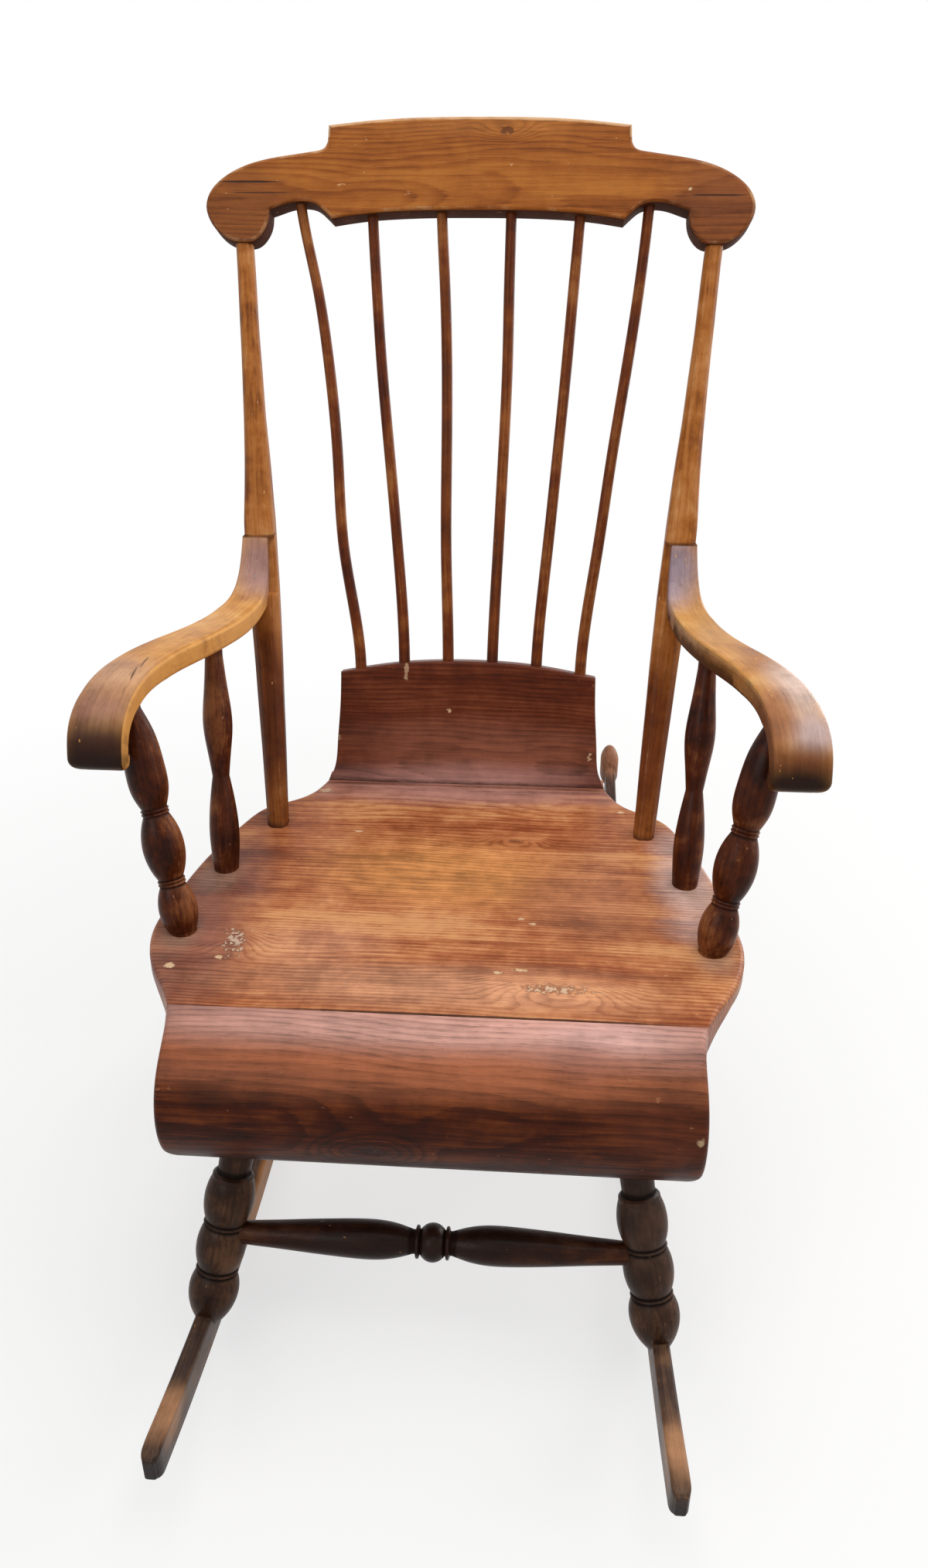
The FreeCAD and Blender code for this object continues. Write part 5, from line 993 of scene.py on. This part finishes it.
# The arm from the joint to its front: share of the run, share of the rise or drop, share of the thickness
arm_side = (
    (0.0000, 1.000, 0.0), (0.0480, 0.362, 0.0), (0.1048, -0.023, 1.0), (0.2154, -0.167, 1.0),
    (0.3900, -0.129, 1.0), (0.5531, -0.045, 1.0), (0.7365, 0.000, 0.98), (0.8908, -0.174, 0.93),
    (0.9753, -0.591, 0.86), (1.0000, -1.000, 0.80),
)
# Share of the run, share of the flare, share of the way from the joint's width to the front's
arm_plan = np.array([
    (-0.20, 0.055, 0.0), (0.0, 0.055, 0.0), (0.07, 0.006, 0.28), (0.125, 0.006, 0.45),
    (0.2154, 0.065, 0.60), (0.39, 0.220, 0.72), (0.5531, 0.420, 0.93), (0.7365, 0.715, 0.97),
    (0.8908, 0.905, 1.02), (0.9753, 0.970, 1.06), (1.06, 1.0, 1.0),
])
arm_plan = np.concatenate([arm_plan[:1], smooth_line(arm_plan[1:], 0.01)])


def arm_height(share):
    """A height over the rest: a share above zero rises to the joint, one below drops to the front."""
    return REST + (RISE if share > 0 else DROP) * share


def arm_lines():
    """The arm's top and under lines in side view, point opposite point, and the bead that ends it.

    The underside is square below the top by the thickness there. At its upper
    end the arm lies in the post, along a line parallel to the post's front.
    """
    knots = np.array([(arm_joint_y + arm_run * a, arm_height(b)) for a, b, _ in arm_side])
    top = smooth_line(knots, per_stretch=14)
    way = np.gradient(top, axis=0)[::14][3:]
    way /= np.linalg.norm(way, axis=1)[:, None]
    thick = ARM_T * np.array([c for _, _, c in arm_side[3:]])
    under_knots = knots[3:] + np.stack([-way[:, 1], way[:, 0]], 1) * thick[:, None]
    lap_top = np.array([arm_joint_y + 9.0 / post_back[1], JOINT])
    low_z = under_knots[0, 1] + ARM_T * 0.42
    lap_low = np.array([lap_top[0] + (low_z - JOINT) * post_axis[1] / post_axis[2], low_z])
    lap = straight(lap_top, lap_low, np.linalg.norm(lap_low - lap_top) / 28.5)[:29]
    under = chain(lap, smooth_line(np.concatenate([[lap_low], under_knots]), per_stretch=14))
    end = knots[-1]
    bead = bent_line(end, end + BEAD * np.array([0.55, -0.67]), end + BEAD * np.array([1.15, -0.12]), 21)
    return top, under, bead


def arm(label, side):
    """The bent arm: rounded rectangles between its top and under lines, closed by the bead.

    At its front the outer corner is rounded in plan, and a crown rises by one
    less the square of the place across.
    """
    top, under, bead = arm_lines()
    top = np.concatenate([top, bead[:9]])
    under = np.concatenate([under, bead[-1:-10:-1]])
    share = (top[:, 0] - arm_joint_y) / arm_run
    share = np.maximum.accumulate(share)
    drift = np.interp(share, arm_plan[:, 0], arm_plan[:, 1])
    growth = np.interp(share, arm_plan[:, 0], arm_plan[:, 2])
    inner = arm_inner + ARM_FLARE * eased(drift[:, None], 5)[:, 0]
    width = mix(ARM_JOINT_W, ARM_FRONT_W, eased(growth[:, None], 5)[:, 0])
    outer = inner + width
    run = lengths_along(top)
    left = run[-1] - run
    corner = 15.0
    outer = outer - corner * short_of_round(left, corner) * 0.8
    inner = inner + 2.5 * np.clip(1 - left / 6, 0, 1) ** 2
    through = np.concatenate([np.zeros((len(top), 1)), under - top], 1)
    half_t = np.linalg.norm(through, axis=1) / 2
    through /= 2 * half_t[:, None]
    half_w = (outer - inner) / 2
    middle = (top + under) / 2
    centres = np.stack([(inner + outer) / 2, middle[:, 0], middle[:, 1]], 1)
    across = np.broadcast_to(np.array([1.0, 0, 0]), centres.shape)
    r = np.minimum(mix(1.2, 4.4, np.clip(share * 9, 0, 1)), half_t * 0.9)
    loops, u, v = box_loops(centres, across, through, half_w, half_t, r)
    past_lap = np.clip(share * 8 - 0.6, 0, 1)[:, None]
    crown = 1.1 * np.clip(1 - (u / half_w[:, None]) ** 2, 0, 1) * (v < 0) * past_lap
    loops = loops - through[:, None] * crown[..., None]
    grain = np.stack([u, v, np.broadcast_to(run[:, None], u.shape)], -1)
    grid = closed_ends(loops, 0.3, 0.6) * [side, 1, 1]
    grain = closed_ends(grain, 0.3, 0.6)
    spread = np.interp(grain[..., 2], run, half_w)
    edge = np.clip((np.abs(grain[..., 0]) - spread + 3.5) / 2.5, 0, 1) * (grain[..., 1] < 3)
    front = np.clip((grain[..., 2] - run[-1] + 62) / 45, 0, 1)
    # The inner side face: the left arm's is painted lighter as lit, in the bare-wood colour; the right
    # arm's is painted darker as shade, with a little wear
    inner_face_light_and_shade = (grain[..., 0] < -spread + 1.6) * np.clip((grain[..., 2] - 40) / 40, 0, 1)
    wear_and_highlight = np.maximum(edge * 0.45 * (1 - front * 0.6), inner_face_light_and_shade * (0.85 if side < 0 else 0.35))
    # Darker over the arm's lower part as painted shade, and dark at the end that lies in the post; the
    # right arm's inner face gets painted shade too
    grime_and_shade = 0.35 * (grain[..., 1] > 6) + 0.8 * np.clip(1 - grain[..., 2] / 2, 0, 1)
    grime_and_shade = grime_and_shade + 0.6 * inner_face_light_and_shade * (side > 0)
    piece = piece_from_grid("arm_board_" + label, grid, grain, "arm_wood", wear_and_highlight, grime_and_shade, sharp=42)
    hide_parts("arm_" + label)


# Turned spindles under the arms
FOOT_R, HEAD_R, HEAD_DEPTH = 12.85, 9.0, 19.5


def under_arm(y):
    """The height of a spindle's top in the arm: a fixed depth below the arm's top line there."""
    line = smooth_line([(arm_joint_y + arm_run * a, arm_height(b)) for a, b, _ in arm_side], 2.2)
    order = np.argsort(line[:, 0])
    return float(np.interp(y, line[order, 0], line[order, 1])) - HEAD_DEPTH


def arm_across(y, across):
    """How far out a share of the arm's width lies at a place along the arm."""
    share = (y - arm_joint_y) / arm_run
    inner = arm_inner + ARM_FLARE * np.interp(share, arm_plan[:, 0], arm_plan[:, 1])
    return inner + across * mix(ARM_JOINT_W, ARM_FRONT_W, np.interp(share, arm_plan[:, 0], arm_plan[:, 2]))


def ring_pair(z, groove, ring, width):
    """Two rings round a groove at a height, each as high as width, with flat tops."""
    shares = ((-1.0, 0), (-0.75, 1), (-0.4, 1), (0, 0), (0.4, 1), (0.75, 1), (1.0, 0))
    return np.array([(mix(groove, ring, b), z + a * width) for a, b in shares])


def swelling(start, end, widest, shares):
    """A smooth line from start to end that swells out.

    Each share (swell, way) gives how far the radius goes from the straight
    line towards the widest, and how far along.
    """
    points = [start]
    for swell, way in shares:
        points.append((mix(mix(start[0], end[0], way), widest, swell), mix(start[1], end[1], way)))
    return smooth_line(points + [end], 1.2)


def bulb(r0, z0, r1, z1, widest):
    """An arc between two heights that is widest half way up."""
    return bent_line((r0, z0), (widest, (z0 + z1) / 2), (r1, z1), 30)


def arm_spindles(label, side):
    """The front spindle has three bulbs parted by pairs of rings, the rear one two bulbs and a waist."""
    foot = np.array([PLANK_W - 30.5, PLANK_FRONT + 110, SEAT])
    top_y = foot[1] + 49
    top = np.array([arm_across(top_y, 0.46), top_y, under_arm(top_y)])
    length = float(np.linalg.norm(top - foot))
    groove, ring, neck = 11.5, 13, length * 0.93
    low, high = (ring_pair(length * share, groove, ring, 3) for share in (0.213, 0.512))
    upper = ((0.80, 0.16), (1.0, 0.42), (0.66, 0.76))
    profile = chain(
        straight((FOOT_R, -20), (FOOT_R, 0)), bulb(FOOT_R, 0, groove, low[0, 1], 18.0), low,
        bulb(groove, low[-1, 1], groove, high[0, 1], 19.3), high,
        swelling((groove, high[-1, 1]), (HEAD_R, neck), 18.2, upper),
        straight((HEAD_R, neck), (HEAD_R, length + 8)),
    )
    turning_piece("arm_front_turning_" + label, "arm_front_spindle_" + label, "turned_wood",
                  foot * [side, 1, 1], top * [side, 1, 1], softened(profile))
    foot = np.array([PLANK_W - 43, PLANK_FRONT + 225, SEAT])
    top_y = foot[1] + 64
    top = np.array([arm_across(top_y, 0.26), top_y, under_arm(top_y)])
    length = float(np.linalg.norm(top - foot))
    waist, neck = (8.6, length * 0.425), (HEAD_R, length * 0.96)
    profile = chain(
        straight((FOOT_R, -20), (FOOT_R, 0)),
        swelling((FOOT_R, 0), waist, 15.1, ((1.0, 0.435), (0.46, 0.77))),
        swelling(waist, neck, 14.8, ((0.50, 0.20), (1.0, 0.44), (0.45, 0.76))),
        straight(neck, (HEAD_R, length + 8)),
    )
    turning_piece("arm_rear_turning_" + label, "arm_rear_spindle_" + label, "turned_wood",
                  foot * [side, 1, 1], top * [side, 1, 1], softened(profile))


# Rockers
CONTACT, RADIUS, TALL = -115.0, 1820.0, 31.0
ROCKER_END, ROCKER_HALF = 585.0, 8.0
KNOB_Y, KNOB_LONG, KNOB_HIGH, KNOB_WIDE = 559.0, 26.0, 30.0, 16.0


def rocker_height(y, lift):
    """The height of the rocker's circle at y, lifted from its underside towards its centre."""
    return RADIUS - np.sqrt((RADIUS - lift) ** 2 - (y - CONTACT) ** 2)


def rocker(label, side):
    """A long board bent to a circle, swelling at its rear end into an egg-shaped knob.

    Its front end is rubbed round. The egg's half height and half width are its
    sizes times the root of one less the square of the place along it.
    """
    tip = -583.5 + 43.5 * np.linspace(0, 1, 24) ** 1.5
    y = np.concatenate([tip, np.linspace(-537, 520, 250), np.linspace(522, 584.6, 44)])
    bottom, top = rocker_height(y, 0), rocker_height(y, TALL)
    egg = np.sqrt(np.clip(1 - ((y - KNOB_Y) / KNOB_LONG) ** 2, 0, 1))
    blend = np.clip((y - 532) / 14, 0, 1)
    blend = blend * blend * (3 - 2 * blend)
    board = 1 - np.clip((y - KNOB_Y) / 3, 0, 1)
    half_t = np.maximum(board * (top - bottom) / 2, egg * KNOB_HIGH)
    half_w = np.maximum(board * ROCKER_HALF, egg * KNOB_WIDE)
    from_tip = y + ROCKER_END
    over = 12 * short_of_round(from_tip, 26) * 0.75
    under = 8 * short_of_round(from_tip, 10) * 0.7
    half_t = half_t - (over + under) / 2
    middle = (bottom + top) / 2 + 3 * blend - (over - under) / 2
    half_w = half_w - 6.0 * short_of_round(from_tip, 11)
    centres = np.stack([np.full(len(y), ROCKER_X), y, middle], 1)
    across = np.broadcast_to(np.array([1.0, 0, 0]), centres.shape)
    up = np.broadcast_to(np.array([0, 0, 1.0]), centres.shape)
    r = np.minimum(mix(2.6, 20.0, blend), np.minimum(half_w, half_t) * 0.98)
    loops, u, v = box_loops(centres, across, up, half_w, half_t, r)
    angle = np.arctan2(v / half_t[:, None], u / half_w[:, None])
    ue, ve = half_w[:, None] * np.cos(angle), half_t[:, None] * np.sin(angle)
    u, v = mix(u, ue, blend[:, None]), mix(v, ve, blend[:, None])
    u = u + 0.25 * ripple(y / 37, y / 83)[:, None]
    loops = centres[:, None] + across[:, None] * u[..., None] + up[:, None] * v[..., None]
    grid = closed_ends(loops, 1.5, 0.4) * [side, 1, 1]
    grain = closed_ends(np.stack([u, v, np.broadcast_to(from_tip[:, None], u.shape)], -1), 1.5, 0.4)
    on_top = grain[..., 1] > 11
    wear_and_highlight = np.clip((np.abs(grain[..., 0]) - 5.5) / 2, 0, 1) * 0.5 * on_top
    wear_and_highlight = wear_and_highlight + 0.3 * np.clip((grain[..., 2] - 1120) / 40, 0, 1)
    grime_and_shade = 0.35 * (np.abs(grain[..., 0]) < 4) * on_top * (grain[..., 2] > 90)
    piece = piece_from_grid("rocker_board_" + label, grid, grain, "rocker_wood", wear_and_highlight, grime_and_shade)
    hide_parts("rocker_" + label)


# Legs
def leg(row, label, side, top, foot_y):
    """A turned leg: an egg that straddles the rocker, two bulbs, a collar and a plain swelling.

    A ring in a groove parts the egg and the bulbs.
    """
    foot = np.array([ROCKER_X, foot_y, rocker_height(foot_y, TALL) - 15])
    length = float(np.linalg.norm(top - foot))
    groove, ring, collar, neck, head, widest = 18.0, 20.0, 19.0, 15.0, 13.0, 23.0
    w, long = 3.0, 42.5
    z = long + 7.5
    egg = swelling((11, 0), (groove, z), widest, ((0.52, 0.22), (0.97, 0.52), (0.84, 0.80)))
    parts = [straight((0.5, 0), (11, 0)), egg]
    for after in (groove, collar):
        parts.append(np.array([(groove, z), (ring, z + 0.35 * w), (groove, z + w)]))
        parts.append(bulb(groove, z + w, after, z + w + long, widest))
        z += w + long
    parts.append(np.array([(collar, z), (collar, z + w), (neck, z + 2 * w)]))
    plain = ((0.55, 0.22), (1.0, 0.48), (0.50, 0.78))
    parts.append(swelling((neck, z + 2 * w), (head, length), 17.5, plain))
    parts.append(straight((head, length), (head, length + 12)))
    turning_piece("%s_leg_turning_%s" % (row, label), "%s_leg_%s" % (row, label), "leg_wood",
                  foot * [side, 1, 1], top * [side, 1, 1], softened(chain(*parts)), dents=0.16)
    return foot


def leg_place(foot, top, z):
    """The place at a height on a leg's middle line."""
    return foot + (top - foot) * ((z - foot[2]) / (top[2] - foot[2]))


def stretcher(row, place):
    """A turned bar: a centre bead, a ring each side and two long bulges."""
    half, shoulder = place[0] - 5, place[0] - 23
    groove, ring, w, bead, widest = 10.5, 14.5, 3.6, 11.5, 17.0
    shares = ((0, 0), (0.3, 1), (1.0, 1), (1.3, 0), (1.8, 0))
    rings = np.array([(mix(groove, ring, b), bead + w * a) for a, b in shares])
    bulge = ((0.62, 0.09), (1.0, 0.36), (0.52, 0.68))
    outer = chain(rings, swelling(tuple(rings[-1]), (groove, shoulder), widest, bulge),
                  straight((groove, shoulder), (groove, half)))
    inner = bulb(groove, -bead, groove, bead, widest)
    profile = chain((outer * [1, -1])[::-1], inner, outer)
    turning_piece(row + "_stretcher_turning", row + "_stretcher", "turned_wood",
                  (0, place[1], place[2]), (1, place[1], place[2]), softened(profile), wear_lift=0.25)


# Back spindles
ROD_FOOT_X, ROD_TOP_X, ROD_SHIFT = 129.25, 189.75, 2.4
ROD_FOOT_R, ROD_TOP_R, ROD_BOW = 6.5, 5.9, 9.0
bow_shares = (0.29, 0.50, 0.70, 0.87)
# Each spindle's bend sideways at those shares of its length, as shares of ROD_BOW, and its top's own shift
rod_bends = (
    ((-0.30, 0.35, 0.64, 0.32), -3.3), ((0.20, -0.05, -0.30, -0.28), -1.7),
    ((-0.07, 0.13, 0.29, 0.16), -0.8), ((0.09, 0.22, 0.24, 0.03), -0.8),
    ((-0.12, -0.05, -0.03, -0.12), -1.7), ((-0.28, -0.32, -0.19, -0.20), -3.8),
)


def rod_line(place, bow, shift, run):
    """A spindle's middle line as (height, sideways, radius), from below its foot to above its top."""
    straight_top = run - 18
    foot_x, top_x = ROD_FOOT_X * place + ROD_SHIFT, ROD_TOP_X * place
    stations = [(-16, foot_x, ROD_FOOT_R), (0, foot_x, ROD_FOOT_R)]
    for share, bend in zip(bow_shares, bow):
        r = mix(ROD_FOOT_R, ROD_TOP_R, share)
        stations.append((straight_top * share, mix(foot_x, top_x, share) + bend * ROD_BOW, r))
    top_x += shift
    slope = (top_x - stations[-1][1]) / (straight_top - stations[-1][0])
    stations += [(straight_top, top_x, ROD_TOP_R), (run + 10, top_x + slope * 22, ROD_TOP_R)]
    return smooth_line(stations, 3.0)


def back_spindles():
    """Slender rods, each a circle carried up its own slightly wandering line.

    A point is the line's place plus r cos a to the side and r sin a to the back.
    """
    foot = riser_at(np.array(0.0), np.array(RISER_T / 2), np.array(RISER_H))
    head = crest_at(np.array(0.0), np.array(CREST_T / 2), np.array(18.0))
    run = float(np.linalg.norm(head - foot))
    up = (head - foot) / run
    back = np.cross([1.0, 0, 0], up) * -1
    a = np.linspace(0, 2 * math.pi, 28, endpoint=False)
    for count, (bow, shift) in enumerate(rod_bends):
        line = rod_line(2 * count / 5 - 1, bow, shift, run)
        h, sideways, r = (line[:, k][:, None] for k in range(3))
        r = r * (1 + 0.02 * ripple(h / 40 + count, 2 * a + h / 60, 3 * a + count))
        u, v = sideways + r * np.cos(a), r * np.sin(a)
        loops = foot + up * h[..., None] + np.array([1.0, 0, 0]) * u[..., None] + back * v[..., None]
        grid = closed_ends(loops, 0.5, 0.5)
        grain = closed_ends(np.stack([u - sideways, v, np.broadcast_to(h, u.shape)], -1), 0.5, 0.5)
        # Lighter down each rod's right-hand side: a painted highlight
        wear_and_highlight = 0.35 * np.clip(np.cos(np.arctan2(grain[..., 1], grain[..., 0])), 0, 1)
        low = np.clip(1 - np.abs(grain[..., 2] - 14) / 14, 0, 1) * 0.6
        piece = piece_from_grid("back_rod_%d" % (count + 1), grid, grain, "back_spindle_wood", wear_and_highlight, low)
        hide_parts("back_spindle_%d" % (count + 1))


# The chair
crest_rail()
rear_board()
seat_plank()
front_roll()
FRONT_FOOT_Y, REAR_FOOT_Y, STRETCHER_Z = -421.0, 113.0, 123.0
front_top = np.array([160.0, PLANK_FRONT + 40, SEAT - PLANK_T])
rear_top = np.array([150.0, 1.0, SEAT - PLANK_T])
for label, side in SIDES:
    back_post(label, side)
    arm(label, side)
    arm_spindles(label, side)
    rocker(label, side)
    front_foot = leg("front", label, side, front_top, FRONT_FOOT_Y)
    rear_foot = leg("rear", label, side, rear_top, REAR_FOOT_Y)
stretcher("front", leg_place(front_foot, front_top, STRETCHER_Z))
stretcher("rear", leg_place(rear_foot, rear_top, STRETCHER_Z))
back_spindles()
for node in ("arm_pegs", "leg_pins", "seat_dowels"):
    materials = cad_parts[node].data.materials
    materials.clear()
    materials.append(finishes["pin_wood"])

# Floor
floor_recipe = Recipe(bpy.data.materials.new("pale_floor"))
ground = floor_recipe.add("ShaderNodeTexCoord").outputs["Object"]
far = floor_recipe.add("ShaderNodeVectorMath", {0: ground}, operation="LENGTH").outputs["Value"]
far = floor_recipe.span(far, 0.5, 1.5, 0.65, 1.0)
direct = floor_recipe.seen_directly()
pale = floor_recipe.add("ShaderNodeBsdfDiffuse", {"Color": (0.9, 0.9, 0.9, 1)})
plain_white = floor_recipe.add("ShaderNodeEmission", {"Color": (1, 1, 1, 1), "Strength": 1.0})
grey = floor_recipe.add("ShaderNodeBsdfDiffuse", {"Color": (0.42, 0.41, 0.4, 1)})
shaders = {0: far, 1: pale.outputs[0], 2: plain_white.outputs[0]}
seen_floor = floor_recipe.add("ShaderNodeMixShader", shaders)
shaders = {0: direct, 1: grey.outputs[0], 2: seen_floor.outputs[0]}
mixed = floor_recipe.add("ShaderNodeMixShader", shaders)
floor_recipe.add("ShaderNodeOutputMaterial", {"Surface": mixed.outputs[0]})
floor_mesh = bpy.data.meshes.new("floor")
FLOOR_REACH, FLOOR_Z = 9, -0.0005
corners = [(x * FLOOR_REACH, y * FLOOR_REACH, FLOOR_Z) for x, y in ((-1, -1), (1, -1), (1, 1), (-1, 1))]
floor_mesh.from_pydata(corners, [], [(0, 1, 2, 3)])
floor_mesh.materials.append(floor_recipe.owner)
floor = bpy.data.objects.new("floor", floor_mesh)
bpy.context.scene.collection.objects.link(floor)

# Light, with places and sizes in metres
world = bpy.data.worlds.new("studio")
bpy.context.scene.world = world
sky = Recipe(world)
soft = sky.add("ShaderNodeBackground", {"Color": (0.96, 0.98, 1.0, 1), "Strength": 0.3})
white = sky.add("ShaderNodeBackground", {"Color": (1, 1, 1, 1), "Strength": 1.0})
choose = sky.add("ShaderNodeMixShader", {0: sky.seen_directly(), 1: soft.outputs[0], 2: white.outputs[0]})
sky.add("ShaderNodeOutputWorld", {"Surface": choose.outputs[0]})


def lamp(name, place, target, size, power, colour):
    """A rectangular lamp of a size in metres and a power in watts, turned from its place to its target."""
    data = bpy.data.lights.new(name, "AREA")
    data.shape = "RECTANGLE"
    data.size, data.size_y = size
    data.energy = power
    data.color = colour
    obj = bpy.data.objects.new(name, data)
    obj.location = place
    away = Vector([p - t for p, t in zip(place, target)])
    obj.rotation_euler = away.to_track_quat("Z", "Y").to_euler()
    bpy.context.scene.collection.objects.link(obj)


lamp("overhead", (0.3, -0.2, 3.2), (0, -0.1, 0.4), (2.6, 2.6), 56, (1.0, 0.98, 0.95))
lamp("front_window", (-1.8, -2.6, 2.2), (0, -0.1, 0.5), (2.0, 1.6), 25, (1.0, 0.97, 0.93))
lamp("side_fill", (2.6, -0.6, 1.7), (0, 0, 0.6), (1.4, 1.8), 16, (1.0, 0.98, 0.96))
lamp("rear_window", (2.0, 2.0, 1.3), (0, 0, 0.6), (1.2, 2.0), 40, (1.0, 0.98, 0.96))

# Camera
# The picture's size, focal length and optical centre are in its pixels. The place is in metres.
PICTURE_W, PICTURE_H, FOCAL_PX, CENTRE_X, CENTRE_Y = 1200, 2028, 1455.7, 597.0, 977.15
SENSOR = 36
CAMERA_PLACE = (0.0722, -1.1229, 0.9746)
LOOKS_DOWN, ROLLED, TURNED = 25.82, -0.14, 3.74
camera_data = bpy.data.cameras.new("camera")
camera_data.sensor_fit = "AUTO"
camera_data.sensor_width = SENSOR
camera_data.lens = FOCAL_PX / PICTURE_H * SENSOR
camera_data.shift_x = (PICTURE_W / 2 - CENTRE_X) / PICTURE_H
camera_data.shift_y = (CENTRE_Y - PICTURE_H / 2) / PICTURE_H
camera_data.clip_end = 100
camera = bpy.data.objects.new("camera", camera_data)
camera.location = CAMERA_PLACE
camera.rotation_euler = (math.radians(90 - LOOKS_DOWN), math.radians(ROLLED), math.radians(TURNED))
bpy.context.scene.collection.objects.link(camera)
bpy.context.scene.camera = camera
bpy.context.scene.view_settings.view_transform = "Standard"
